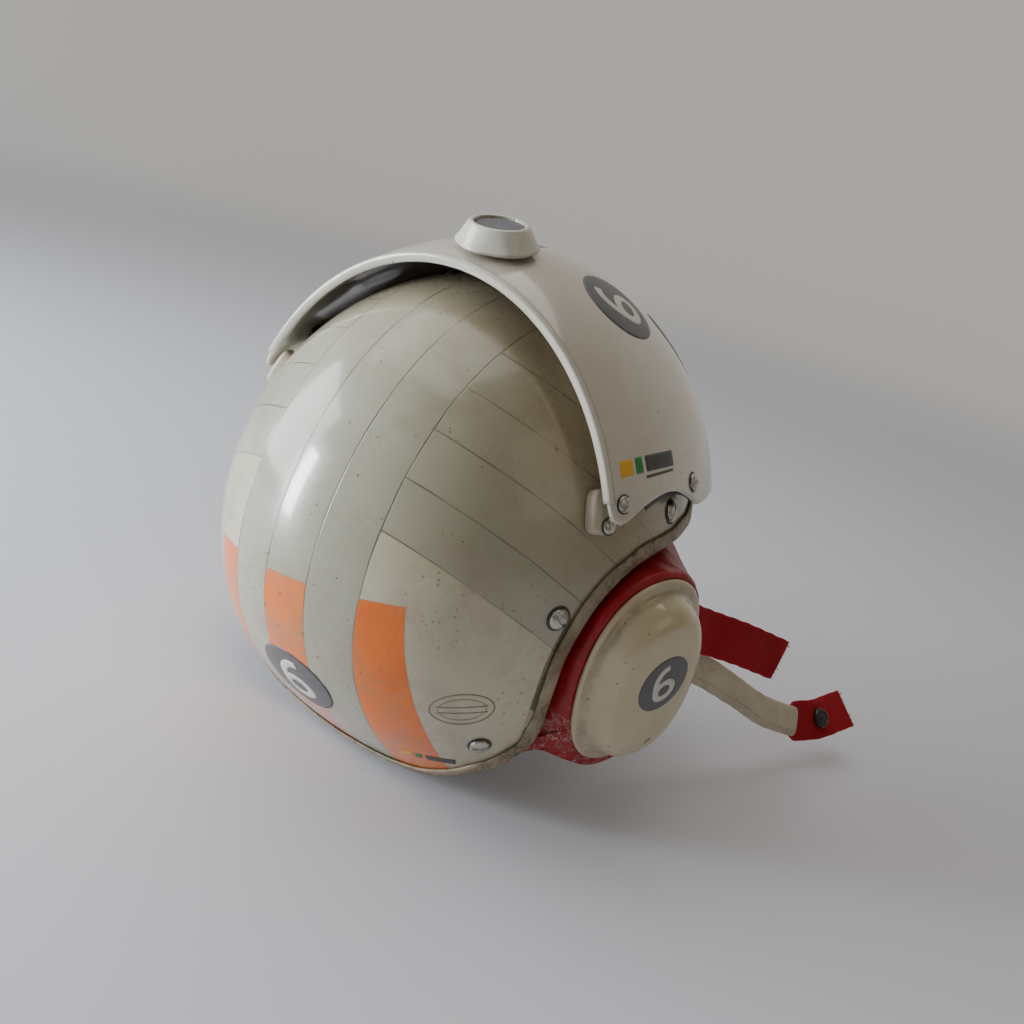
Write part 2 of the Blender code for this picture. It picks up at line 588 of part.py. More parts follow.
for side, s in (("right", 1.0), ("left", -1.0)):
    m = np.array([s, 1.0, 1.0])
    org = HINGE_P * m
    U, V = CUP_HALF_U, CUP_HALF_V
    cup_ring("ear_cup_shell_" + side, [
        (0, 0, 17.0), (U * 0.60, V * 0.66, 14.5), (U * 0.72, V * 0.775, 0.0),
        (U, V, 0.0), (U, V, 2.4), (U * 0.90, V * 0.92, 3.2), (U * 0.855, V * 0.885, 4.6), (U * 0.81, V * 0.85, 10.0),
        (U * 0.755, V * 0.80, 15.0), (U * 0.66, V * 0.72, 17.8), (U * 0.45, V * 0.5, 19.0), (0, 0, CUP_H)], SEG, white_cup, m, org)
    cup_ring("ear_back_ring_" + side, [
        (U * 0.62, V * 0.69, -4.0), (U * 0.87, V * 0.87, -4.0), (U * 0.87, V * 0.87, -5.8), (U * 0.62, V * 0.69, -5.8)], SEG, mat("ring_black", (0.05, 0.05, 0.05), 0.45), m, org, True)
    cup_ring("ear_seal_" + side, [
        (U * 0.86, V * 0.86, -6.2), (U * 0.90, V * 0.90, -13.0), (U * 0.85, V * 0.85, -20.5), (U * 0.78, V * 0.79, -22.0),
        (U * 0.64, V * 0.70, -22.0), (U * 0.53, V * 0.61, -18.0), (U * 0.56, V * 0.63, -6.2)], SEG, seal_mat, m, org, True)
    cup_ring("earphone_" + side, [
        (0, 0, 13.0), (17.5, 17.5, 13.0), (18.5, 18.5, 12.0), (18.5, 18.5, 3.0), (17, 17, 2.0), (0, 0, 2.0)], 18, mat("earphone_black", (0.06, 0.06, 0.065), 0.5), m, org)

    # flap: a padded vinyl sheet tucked inside the shell edge, clamped under the cup
    kc, kf = 8, 17  # edge stations from the nape corner to the temple
    mid = []
    ks = list(range(kc - 2, kf + 1))
    ang = []
    for k in ks:
        q = outer[0][k]
        n_, t_, i_ = nrm[k], tang[k], into[k]
        tuck = min(1.0, max(0.5, (k - (kc - 2)) / 2.0))
        p0 = q + i_ * 6 * tuck - n_ * 8.3
        p1 = q + i_ * 0.4 - n_ * 8.3
        p2 = q - i_ * 6.6 - n_ * 7.4
        if k == kf:
            p0, p1, p2 = (q - i_ * j - n_ * 8.3 for j in (7.2, 8.4, 10.0))
        e = q - CUP_CENTRE
        a = math.atan2((e @ CV) / CUP_HALF_V, (e @ CU) / CUP_HALF_U)
        ang.append(a)
        mid.append([p0, p1, p2, None, None, None, None])
    ang = np.unwrap(ang)
    lo_a, hi_a = ang[0], ang[-1]
    free = 2 * math.pi - abs(hi_a - lo_a)
    nf = 13
    sign = 1.0 if hi_a > lo_a else -1.0
    fa = [hi_a + sign * free * (j + 1) / (nf + 1) for j in range(nf)]
    last_mid, first_mid = mid[-1], mid[0]
    for j, a in enumerate(fa):
        f = (j + 1) / (nf + 1)
        wgt = max(0.0, 1 - f / 0.22)
        wgt2 = max(0.0, 1 - (1 - f) / 0.22)
        cols = []
        for sc, w in ((1.17, -4.0), (1.14, -3.6), (1.09, -2.8)):
            c, s_ = math.cos(a), math.sin(a)
            cols.append(cup_pt(CUP_HALF_U * sc * c, CUP_HALF_V * sc * s_, w))
        for i in range(3):
            cols[i] = cols[i] * (1 - wgt - wgt2) + wgt * (last_mid[i] + (cols[i] - last_mid[i]) * min(1, f / 0.22)) + wgt2 * (first_mid[i] + (cols[i] - first_mid[i]) * min(1, (1 - f) / 0.22))
        mid.append(cols + [None] * 4)
        ang = np.append(ang, a)
    for col, a in zip(mid, ang):
        c, s_ = math.cos(a), math.sin(a)
        e = 2 / 2.25
        ce, se = math.copysign(abs(c) ** e, c), math.copysign(abs(s_) ** e, s_)
        for i, (sc, w) in enumerate(((1.03, -2.2), (0.97, -1.9), (0.86, -1.9), (0.76, -1.9))):
            col[3 + i] = cup_pt(CUP_HALF_U * sc * ce, CUP_HALF_V * sc * se, w)
    mid = np.array(mid).transpose(1, 0, 2)  # rows, columns
    gr = np.gradient(mid, axis=0)
    gc = (np.roll(mid, -1, 1) - np.roll(mid, 1, 1)) / 2
    fn = unit(np.cross(gr, gc))
    if np.mean(fn @ cn) < 0:
        fn = -fn
    fn[3:] = cn
    grid_solid("ear_flap_" + side, (mid + fn * FLAP_T / 2) * m, (mid - fn * FLAP_T / 2) * m, True, False, red_vinyl, outer[0][12] * m)

# ---------------------------------------------------------------- straps


def strap(name, path, wdirs, width, thick, material, m, origin, n=10, round_ends=False):
    p = smooth_curve(path, n)
    s = np.linspace(0, 1, n + 1)
    wd = np.stack([np.interp(s, np.linspace(0, 1, len(wdirs)), np.array(wdirs)[:, i]) for i in range(3)], 1)
    t = unit(np.gradient(p, axis=0))
    wd = unit(wd - np.sum(wd * t, 1)[:, None] * t)
    nn = np.cross(t, wd)
    prof = [(-0.5, 0.0), (-0.40, 0.5), (0.40, 0.5), (0.5, 0.0), (0.40, -0.5), (-0.40, -0.5)]
    ring = np.array([p + wd * a * width + nn * b * thick for a, b in prof]).transpose(1, 0, 2) * m
    S_, K_ = len(prof), len(p)
    v = ring.reshape(-1, 3)
    f = [(k * S_ + i, k * S_ + (i + 1) % S_, (k + 1) * S_ + (i + 1) % S_, (k + 1) * S_ + i) for k in range(K_ - 1) for i in range(S_)]
    f += [tuple(range(S_))[::-1], tuple((K_ - 1) * S_ + i for i in range(S_))]
    return make(name, v, f, material, origin)


red_web = mat("web_red", (0.45, 0.015, 0.035), 0.75)
hide = mat("strap_leather", (0.50, 0.45, 0.34), 0.7)
W_DOWN = (0.05, 0.40, -0.92)

for side, s in (("right", 1.0), ("left", -1.0)):
    m = np.array([s, 1.0, 1.0])
    chin = np.array([(-123.5, -38.0, -37.5), (-133.5, -61.5, -44.0), (-150.0, -88.0, -58.5), (-163.0, -119.0, -76.5), (-176.0, -154.0, -90.5)])
    strap("chin_sleeve_" + side, chin, [(-0.35, 0.40, -0.85), (-0.50, 0.36, -0.78), (-0.35, 0.38, -0.85)], 18.5, 8.0, hide, m, chin[0] * m)
    end = np.array([(-177.6, -159.5, -91.0), (-184.5, -176.0, -92.0), (-189.5, -195.0, -91.5), (-193.5, -210.0, -91.0)])
    strap("chin_web_" + side, end, [(-0.35, 0.38, -0.85), (-0.70, 0.0, -0.70), (-0.78, -0.10, -0.60)], WEB_W, WEB_T + 0.6, red_web, m, chin[0] * m, n=8)
    wide = np.array([(-129.0, -33.5, -11.5), (-134.8, -57.0, -20.0), (-147.0, -85.5, -29.5), (-162.0, -122.0, -43.5)])
    strap("side_strap_" + side, wide, [W_DOWN, W_DOWN], WEB_W, WEB_T, red_web, m, wide[0] * m, n=10)
    # snap on the chin webbing
    pm = smooth_curve(end, 8)[3]
    tw = unit(smooth_curve(end, 8)[4] - smooth_curve(end, 8)[2])
    wv = unit(np.array([-0.66, 0.04, -0.74]))
    wv = unit(wv - (wv @ tw) * tw)
    sn = np.cross(tw, wv)
    if sn @ np.array([-0.45, 0.62, 0.64]) < 0:
        sn = -sn
    top = WEB_T / 2 + 0.3 + 0.9
    lathe("chin_snap_" + side, [(0, top), (6.4, top), (6.4, top + 1.4), (5.4, top + 2.6), (3.0, top + 2.8), (0, top + 2.8)], pm * m, sn * m, 16, black, origin=chin[0] * m)

bpy.context.view_layer.update()
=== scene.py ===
import math

import bpy
import numpy as np
from mathutils import Matrix, Vector


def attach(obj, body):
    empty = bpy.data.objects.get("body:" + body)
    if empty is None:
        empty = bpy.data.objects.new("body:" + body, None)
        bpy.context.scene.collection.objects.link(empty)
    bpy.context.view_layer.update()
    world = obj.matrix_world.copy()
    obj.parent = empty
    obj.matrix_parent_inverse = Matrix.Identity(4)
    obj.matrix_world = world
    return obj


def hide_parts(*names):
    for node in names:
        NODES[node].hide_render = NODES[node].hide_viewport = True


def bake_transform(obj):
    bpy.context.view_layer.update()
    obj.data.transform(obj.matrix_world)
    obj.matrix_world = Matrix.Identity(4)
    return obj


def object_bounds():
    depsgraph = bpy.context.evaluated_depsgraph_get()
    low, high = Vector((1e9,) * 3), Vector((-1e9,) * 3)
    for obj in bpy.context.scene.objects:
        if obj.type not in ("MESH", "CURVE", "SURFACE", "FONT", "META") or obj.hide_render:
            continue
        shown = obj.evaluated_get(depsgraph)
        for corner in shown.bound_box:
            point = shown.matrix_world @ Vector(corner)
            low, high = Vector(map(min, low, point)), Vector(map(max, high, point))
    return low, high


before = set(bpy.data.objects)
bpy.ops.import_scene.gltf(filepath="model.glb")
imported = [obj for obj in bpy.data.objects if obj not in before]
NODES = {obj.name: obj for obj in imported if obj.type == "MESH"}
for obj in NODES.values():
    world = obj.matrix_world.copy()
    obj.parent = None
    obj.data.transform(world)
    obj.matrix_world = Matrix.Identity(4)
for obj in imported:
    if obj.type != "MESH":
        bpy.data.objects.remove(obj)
CAD_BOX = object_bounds()
MM = 0.001
rng = np.random.default_rng(6)

# ------------------------------------------------------------------ geometry helpers
MIRROR = np.array([-1.0, 1.0, 1.0])


def unit(v):
    v = np.asarray(v, float)
    return v / np.linalg.norm(v, axis=-1, keepdims=True)


def add_mesh(name, verts, faces, material, attrs=None, smooth=True, mm=True):
    v = np.asarray(verts, float)
    tri = []
    vol = 0.0
    fa = np.array([(f[0], f[1], f[2]) for f in faces])
    vol = np.einsum("ij,ij->i", v[fa[:, 0]], np.cross(v[fa[:, 1]], v[fa[:, 2]])).sum()
    q = [f for f in faces if len(f) == 4]
    if q:
        qa = np.array([(f[0], f[2], f[3]) for f in q])
        vol += np.einsum("ij,ij->i", v[qa[:, 0]], np.cross(v[qa[:, 1]], v[qa[:, 2]])).sum()
    if vol < 0:
        faces = [tuple(reversed(f)) for f in faces]
    me = bpy.data.meshes.new(name)
    me.from_pydata((v * (MM if mm else 1)).tolist(), [], [tuple(int(i) for i in f) for f in faces])
    me.update()
    me.polygons.foreach_set("use_smooth", [smooth] * len(me.polygons))
    for k, a in (attrs or {}).items():
        at = me.attributes.new(k, "FLOAT", "POINT")
        at.data.foreach_set("value", np.asarray(a, np.float32))
    ob = bpy.data.objects.new(name, me)
    bpy.context.scene.collection.objects.link(ob)
    if material:
        me.materials.append(material)
    return ob


def loft(name, G, material, attrs=None, close_c=True, cap0="none", cap1="none", close_r=False, smooth=True):
    """G is (rows, columns, 3). cap: none, pole (row is one point), fan (closed with a middle point)."""
    G = np.asarray(G, float)
    R, C = G.shape[:2]
    verts = G.reshape(-1, 3)
    at = {k: np.asarray(a, float).reshape(-1) for k, a in (attrs or {}).items()}
    idx = np.arange(R * C).reshape(R, C)
    faces = []
    rr = range(R) if close_r else range(R - 1)
    cc = range(C) if close_c else range(C - 1)
    for r in rr:
        r2 = (r + 1) % R
        for c in cc:
            d = (c + 1) % C
            if cap0 == "pole" and r == 0:
                faces.append((idx[0, 0], idx[r2, d], idx[r2, c]))
            elif cap1 == "pole" and r == R - 2:
                faces.append((idx[r, c], idx[r, d], idx[R - 1, 0]))
            else:
                faces.append((idx[r, c], idx[r, d], idx[r2, d], idx[r2, c]))
    extra = []
    for cap, row, flip in ((cap0, 0, True), (cap1, R - 1, False)):
        if cap == "fan":
            k = len(verts) + len(extra)
            extra.append(G[row].mean(0))
            for a in at:
                at[a] = np.append(at[a], at[a][idx[row]].mean())
            for c in range(C):
                d = (c + 1) % C
                f = (idx[row, d], idx[row, c], k) if flip else (idx[row, c], idx[row, d], k)
                faces.append(f)
    if extra:
        verts = np.vstack([verts, extra])
    ob = add_mesh(name, verts, faces, material, at, smooth)
    return ob


def frame_of(axis, hint=(0, 0, 1)):
    w = unit(axis)
    h = np.asarray(hint, float)
    if abs(np.dot(w, unit(h))) > 0.95:
        h = np.array([1.0, 0, 0])
    u = unit(np.cross(h, w))
    return u, np.cross(w, u), w


def lathe(name, profile, centre, axis, segs, material, ex=1.0, attr=None, hint=(0, 0, 1), wob=0.0):
    u, v, w = frame_of(axis, hint)
    c = np.asarray(centre, float)
    t = np.linspace(0, 2 * np.pi, segs, endpoint=False)
    rows = []
    for r, h in profile:
        rows.append(c + w * h + max(r, 1e-4) * (np.cos(t)[:, None] * u * ex + np.sin(t)[:, None] * v))
    rows = np.array(rows)
    at = {"ph": np.repeat(np.arange(len(profile), dtype=float)[:, None], segs, 1), "pr": np.repeat(np.array([p[0] for p in profile])[:, None], segs, 1)}
    return loft(name, rows, material, at, True, "fan", "fan")


def round_profile(points, radius=0.4, n=4):
    """rounds the corners of an open (r, h) profile."""
    p = np.asarray(points, float)
    out = [p[0]]
    for i in range(1, len(p) - 1):
        a, b, c = p[i - 1], p[i], p[i + 1]
        la, lc = np.linalg.norm(a - b), np.linalg.norm(c - b)
        d = min(radius, la * 0.45, lc * 0.45)
        p0, p1 = b + (a - b) / max(la, 1e-9) * d, b + (c - b) / max(lc, 1e-9) * d
        for k in range(n + 1):
            s = k / n
            out.append((1 - s) ** 2 * p0 + 2 * s * (1 - s) * b + s * s * p1)
    out.append(p[-1])
    return [tuple(q) for q in out]


def catmull(pts, n, closed=False):
    p = np.asarray(pts, float)
    e = np.concatenate([p[-1:], p, p[:2]]) if closed else np.concatenate([2 * p[:1] - p[1:2], p, 2 * p[-1:] - p[-2:-1]])
    segs = len(e) - 3
    out = []
    for i in range(1, segs + 1):
        a, b, c, d = e[i - 1], e[i], e[i + 1], e[i + 2]
        for t in np.linspace(0, 1, n, endpoint=False):
            out.append(0.5 * (2 * b + (c - a) * t + (2 * a - 5 * b + 4 * c - d) * t * t + (3 * b - a - 3 * c + d) * t**3))
    if not closed:
        out.append(e[-2])
    return np.array(out)


def resample(p, n, closed=False):
    p = np.asarray(p, float)
    q = np.vstack([p, p[:1]]) if closed else p
    s = np.concatenate([[0], np.cumsum(np.linalg.norm(np.diff(q, axis=0), axis=1))])
    t = np.linspace(0, s[-1], n + (1 if closed else 0))
    o = np.stack([np.interp(t, s, q[:, i]) for i in range(3)], 1)
    return o[:-1] if closed else o


def smooth_curve(pts, n):
    """as in the CAD: n+1 points at even spacing along a Catmull-Rom curve."""
    return resample(catmull(pts, 12), n + 1)


def refine(G, kr, kc, closed_c=True):
    A = catmull(G, kr)
    B = catmull(A.transpose(1, 0, 2), kc, closed_c).transpose(1, 0, 2)
    return B


# ------------------------------------------------------------------ shader helpers
class NB:
    def __init__(self, name):
        self.m = bpy.data.materials.new(name)
        self.m.use_nodes = True
        self.t = self.m.node_tree
        self.b = self.t.nodes["Principled BSDF"]
        self.tc = None

    def n(self, kind, **kw):
        x = self.t.nodes.new(kind)
        for k, v in kw.items():
            setattr(x, k, v)
        return x

    def put(self, sock, v):
        if hasattr(v, "is_output") or hasattr(v, "links"):
            self.t.links.new(v, sock)
        elif isinstance(v, tuple) and len(v) == 3 and sock.type == "RGBA":
            sock.default_value = (*v, 1.0)
        else:
            sock.default_value = v

    def pos(self):
        if not self.tc:
            self.tc = self.n("ShaderNodeTexCoord").outputs["Object"]
        return self.tc

    def xyz(self):
        if not hasattr(self, "_xyz"):
            s = self.n("ShaderNodeVectorMath", operation="SCALE")
            self.put(s.inputs[0], self.pos())
            s.inputs["Scale"].default_value = 1000.0
            self.mmv = s.outputs[0]
            x = self.n("ShaderNodeSeparateXYZ")
            self.put(x.inputs[0], self.mmv)
            self._xyz = tuple(x.outputs)
        return self._xyz

    def attr(self, name):
        return self.n("ShaderNodeAttribute", attribute_name=name).outputs["Fac"]

    def op(self, o, a, b=None, c=None, clamp=False):
        x = self.n("ShaderNodeMath", operation=o, use_clamp=clamp)
        self.put(x.inputs[0], a)
        if b is not None:
            self.put(x.inputs[1], b)
        if c is not None:
            self.put(x.inputs[2], c)
        return x.outputs[0]

    def add(self, a, b):
        return self.op("ADD", a, b)

    def sub(self, a, b):
        return self.op("SUBTRACT", a, b)

    def mul(self, a, b):
        return self.op("MULTIPLY", a, b)

    def step(self, a, lo, hi):
        """0 below lo, 1 above hi (or the reverse when lo > hi)."""
        x = self.n("ShaderNodeMapRange", interpolation_type="SMOOTHSTEP")
        self.put(x.inputs["Value"], a)
        if lo < hi:
            x.inputs["From Min"].default_value, x.inputs["From Max"].default_value = lo, hi
        else:
            x.inputs["From Min"].default_value, x.inputs["From Max"].default_value = hi, lo
            x.inputs["To Min"].default_value, x.inputs["To Max"].default_value = 1.0, 0.0
        return x.outputs[0]

    def ramp(self, a, lo, hi, to0=0.0, to1=1.0):
        x = self.n("ShaderNodeMapRange")
        self.put(x.inputs["Value"], a)
        x.inputs["From Min"].default_value, x.inputs["From Max"].default_value = lo, hi
        x.inputs["To Min"].default_value, x.inputs["To Max"].default_value = to0, to1
        return x.outputs[0]

    def noise(self, scale, detail=3.0, rough=0.55, vec=None, dist=0.0, w=0.0, stretch=None):
        x = self.n("ShaderNodeTexNoise", noise_dimensions="4D")
        v = vec if vec is not None else self.pos()
        if stretch:
            mp = self.n("ShaderNodeMapping")
            self.put(mp.inputs["Vector"], v)
            mp.inputs["Scale"].default_value = stretch[0]
            mp.inputs["Rotation"].default_value = stretch[1]
            v = mp.outputs[0]
        self.put(x.inputs["Vector"], v)
        x.inputs["Scale"].default_value = scale
        x.inputs["Detail"].default_value = detail
        x.inputs["Roughness"].default_value = rough
        x.inputs["Distortion"].default_value = dist
        x.inputs["W"].default_value = w
        return x.outputs["Fac"]

    def voro(self, scale, feature="F1", out="Distance", vec=None, rand=1.0):
        x = self.n("ShaderNodeTexVoronoi", feature=feature)
        self.put(x.inputs["Vector"], vec if vec is not None else self.pos())
        x.inputs["Scale"].default_value = scale
        x.inputs["Randomness"].default_value = rand
        return x.outputs[out]

    def mix(self, f, a, b):
        x = self.n("ShaderNodeMix", data_type="RGBA", clamp_factor=True)
        self.put(x.inputs[0], f)
        self.put(x.inputs[6], a)
        self.put(x.inputs[7], b)
        return x.outputs[2]

    def mixf(self, f, a, b):
        x = self.n("ShaderNodeMix", data_type="FLOAT", clamp_factor=True)
        self.put(x.inputs[0], f)
        self.put(x.inputs[2], a)
        self.put(x.inputs[3], b)
        return x.outputs[0]

    def bump(self, h, strength=0.3, dist=0.001, normal=None):
        x = self.n("ShaderNodeBump")
        x.inputs["Strength"].default_value = strength
        x.inputs["Distance"].default_value = dist
        self.put(x.inputs["Height"], h)
        if normal is not None:
            self.put(x.inputs["Normal"], normal)
        return x.outputs[0]

    def out(self, colour, rough=0.4, metal=0.0, normal=None, spec=0.5, coat=0.0, coat_rough=0.1, sheen=0.0):
        b = self.b
        self.put(b.inputs["Base Color"], colour)
        self.put(b.inputs["Roughness"], rough)
        b.inputs["Metallic"].default_value = metal
        b.inputs["Specular IOR Level"].default_value = spec
        if coat:
            b.inputs["Coat Weight"].default_value = coat
            b.inputs["Coat Roughness"].default_value = coat_rough
        if sheen:
            b.inputs["Sheen Weight"].default_value = sheen
            b.inputs["Sheen Roughness"].default_value = 0.4
        if normal is not None:
            self.put(b.inputs["Normal"], normal)
        return self.m


def dirt_specks(nb, scale, lo, hi, w=0.0):
    """small irregular flecks: 1 inside a fleck."""
    a = nb.noise(scale, 2.0, 0.5, w=w)
    return nb.step(a, lo, hi)


def scratches(nb, rot, scale=60, lo=0.70, hi=0.74, w=0.0, st=(1.0, 18.0, 1.0)):
    return nb.step(nb.noise(scale, 2.0, 0.6, stretch=(st, rot), w=w), lo, hi)


W = 25.4  # width of one strip of tape, mm


def mat_shell():
    nb = NB("shell_tape_and_paint")
    x, y, z = nb.xyz()
    wob = nb.mul(nb.sub(nb.noise(18, 2.0), 0.5), 1.6)
    xw = nb.add(x, wob)
    ax = nb.op("ABSOLUTE", xw)
    right = nb.step(x, 0.5, -0.5)
    # lateral strips on the two sides
    s = nb.sub(nb.mul(y, 0.588), nb.mul(z, 0.809))
    s = nb.add(s, wob)
    s = nb.add(s, nb.mixf(right, 4.5, 0.0))
    v = nb.op("DIVIDE", nb.sub(s, 46.0), 24.6)
    side = nb.step(ax, 1.5 * W - 0.05, 1.5 * W + 0.05)
    taped_side = nb.step(v, 0.01, -0.01)
    bare = nb.mul(side, nb.sub(1.0, taped_side))
    # seams
    d1 = nb.op("ABSOLUTE", nb.sub(ax, 0.5 * W))
    d2 = nb.op("ABSOLUTE", nb.sub(ax, 1.5 * W))
    ds = nb.op("MINIMUM", d1, d2)
    vf = nb.op("FRACT", nb.add(v, 100.5))
    dv = nb.mul(nb.op("ABSOLUTE", nb.sub(vf, 0.5)), 24.6)
    dl = nb.mixf(nb.mul(side, nb.step(v, 0.1, 0.05)), 9.0, dv)
    dist = nb.op("MINIMUM", ds, dl)
    # orange panels
    top = nb.sub(-3.5, nb.mul(x, 0.12))
    below = nb.step(nb.sub(z, top), 0.25, -0.25)
    back = nb.step(y, -2.0, 2.0)
    outer_edge = nb.sub(57.5, nb.mul(z, 0.12))
    in_c = nb.step(ax, 0.5 * W + 0.2, 0.5 * W - 0.2)
    in_s = nb.mul(side, nb.step(nb.sub(ax, outer_edge), 0.3, -0.3))
    orange = nb.mul(nb.mul(nb.op("MAXIMUM", in_c, in_s), below), back)
    # outlines of the orange panels count as seams
    do = nb.op("ABSOLUTE", nb.sub(z, top))
    do = nb.mixf(nb.mul(back, nb.op("MAXIMUM", in_c, nb.mul(side, nb.step(nb.sub(ax, outer_edge), 0.6, 0.2)))), 9.0, do)
    de = nb.op("ABSOLUTE", nb.sub(ax, outer_edge))
    de = nb.mixf(nb.mul(nb.mul(back, below), side), 9.0, de)
    dist2 = nb.op("MINIMUM", do, de)
    line = nb.step(dist, 0.52, 0.16)
    broken = nb.ramp(nb.noise(45, 3.0, w=2.0), 0.35, 0.6, 0.35, 1.0)
    line = nb.mul(nb.mul(line, broken), nb.sub(1.0, nb.mul(orange, 0.4)))
    line2 = nb.mul(nb.step(dist2, 0.4, 0.12), 0.35)
    # colours
    idx = nb.op("FLOOR", nb.add(nb.op("DIVIDE", xw, W), 0.5))
    idv = nb.op("FLOOR", nb.add(v, 100.0))
    wn = nb.n("ShaderNodeTexWhiteNoise", noise_dimensions="2D")
    cmb = nb.n("ShaderNodeCombineXYZ")
    nb.put(cmb.inputs[0], nb.mixf(side, idx, nb.mul(nb.op("SIGN", x), 9.0)))
    nb.put(cmb.inputs[1], nb.mixf(side, 0.0, idv))
    nb.put(wn.inputs["Vector"], cmb.outputs[0])
    tint = wn.outputs["Value"]
    cloud = nb.noise(9, 4.0, 0.6)
    fine = nb.noise(160, 3.0, 0.6, w=5.0)
    tape = nb.mix(nb.ramp(cloud, 0.3, 0.7), (0.325, 0.325, 0.250), (0.42, 0.42, 0.335))
    tape = nb.mix(nb.mul(tint, 0.35), tape, (0.44, 0.41, 0.30))
    warm = nb.mul(nb.mul(nb.step(y, 112.0, 40.0), nb.step(z, 10.0, 70.0)), nb.ramp(nb.noise(13, 4.0, 0.65, w=7.0), 0.38, 0.62))
    warm = nb.mul(warm, nb.mixf(right, 0.45, 1.0))
    tape = nb.mix(nb.mul(warm, 0.8), tape, (0.36, 0.275, 0.155))
    tape = nb.mix(nb.mul(nb.step(v, -1.0, -0.2), nb.mul(side, 0.45)), tape, (0.47, 0.42, 0.34))
    paint = nb.mix(nb.ramp(cloud, 0.35, 0.65), (0.52, 0.475, 0.33), (0.61, 0.565, 0.42))
    # the bare paint is darker towards the bottom
    paint_darker_low = nb.mul(nb.step(z, -35.0, -105.0), 0.35)
    paint = nb.mix(paint_darker_low, paint, (0.44, 0.39, 0.29))
    orange_c = nb.mix(nb.ramp(nb.noise(30, 4.0, 0.6), 0.3, 0.75), (0.90, 0.185, 0.0), (0.76, 0.135, 0.0))
    orange_c = nb.mix(nb.mul(in_c, nb.step(z, -78.0, -86.0)), orange_c, (0.74, 0.20, 0.11))
    col = nb.mix(bare, tape, paint)
    col = nb.mix(orange, col, orange_c)
    # grime that gathers at the trim, and a painted shadow beneath the visor housing
    e = nb.attr("edge")
    rim = nb.mul(nb.step(e, 13.0, 0.5), nb.ramp(nb.noise(70, 4.0, 0.7, w=3.0), 0.36, 0.62))
    col = nb.mix(nb.mul(rim, 0.75), col, (0.17, 0.125, 0.07))
    # painted shadow: darker where the visor housing overhangs the shell
    housing_shadow = nb.mul(nb.step(y, 72.0, 54.0), nb.step(z, 60.0, 90.0))
    col = nb.mix(nb.mul(housing_shadow, nb.ramp(nb.noise(40, 4.0, w=4.0), 0.3, 0.7, 0.25, 0.7)), col, (0.22, 0.17, 0.10))
    col = nb.mix(nb.mul(line, 0.85), col, (0.075, 0.065, 0.05))
    col = nb.mix(line2, col, (0.25, 0.12, 0.05))
    sp = nb.mul(nb.step(nb.voro(230, out="Distance"), 0.20, 0.11), nb.step(nb.noise(33, 2.0, w=9.0), 0.50, 0.58))
    sp2 = nb.mul(nb.step(nb.voro(90, out="Distance"), 0.10, 0.05), nb.step(nb.noise(16, 2.0, w=11.0), 0.50, 0.57))
    sp3 = nb.mul(nb.step(nb.noise(330, 1.5, 0.5, w=19.0), 0.735, 0.765), nb.step(nb.noise(21, 3.0, w=20.0), 0.44, 0.58))
    sp = nb.op("MAXIMUM", nb.mul(sp, 0.6), nb.op("MAXIMUM", sp2, sp3))
    col = nb.mix(nb.mul(sp, 0.85), col, (0.07, 0.05, 0.03))
    sc1 = scratches(nb, (0.3, 0.5, 0.2), 55, 0.715, 0.735, 1.0)
    sc2 = scratches(nb, (1.2, 0.1, 0.9), 48, 0.72, 0.74, 6.0)
    scr = nb.op("MAXIMUM", sc1, sc2)
    col = nb.mix(nb.mul(scr, 0.30), col, (0.70, 0.69, 0.64))
    smudge = nb.mul(nb.ramp(nb.noise(22, 6.0, 0.72, w=14.0, dist=1.0), 0.48, 0.68), 0.42)
    col = nb.mix(smudge, col, (0.27, 0.225, 0.15))
    aged = nb.mul(nb.step(x, 15.0, -80.0), nb.step(z, -70.0, 80.0))
    aged = nb.mul(aged, nb.mul(nb.sub(1.0, orange), nb.ramp(nb.noise(11, 5.0, 0.65, w=17.0), 0.25, 0.7, 0.45, 1.0)))
    col = nb.mix(nb.mul(aged, 0.46), col, (0.330, 0.235, 0.100))
    rough = nb.ramp(nb.noise(24, 4.0, 0.6, w=12.0), 0.3, 0.7, 0.15, 0.33)
    rough = nb.add(rough, nb.mul(rim, 0.3))
    h = nb.mul(line, -1.0)
    h = nb.add(h, nb.mul(fine, 0.10))
    h = nb.add(h, nb.mul(nb.noise(7, 2.0, w=2.0), 0.8))
    h = nb.sub(h, nb.mul(scr, 0.25))
    h = nb.add(h, nb.mul(bare, -0.25))
    # the inside is bare laminate with its cloth showing
    inner = nb.step(nb.attr("inner"), 0.4, 0.6)
    mat_ = nb.voro(420, "DISTANCE_TO_EDGE")
    lam = nb.mix(nb.ramp(nb.noise(60, 4.0, 0.6, w=15.0), 0.3, 0.7), (0.10, 0.085, 0.055), (0.20, 0.17, 0.11))
    lam = nb.mix(nb.step(mat_, 0.08, 0.02), lam, (0.26, 0.23, 0.16))
    col = nb.mix(inner, col, lam)
    rough = nb.mixf(inner, rough, 0.6)
    return nb.out(col, rough, 0.0, nb.bump(h, 0.35, 0.0004), 0.5, 0.55, 0.08)


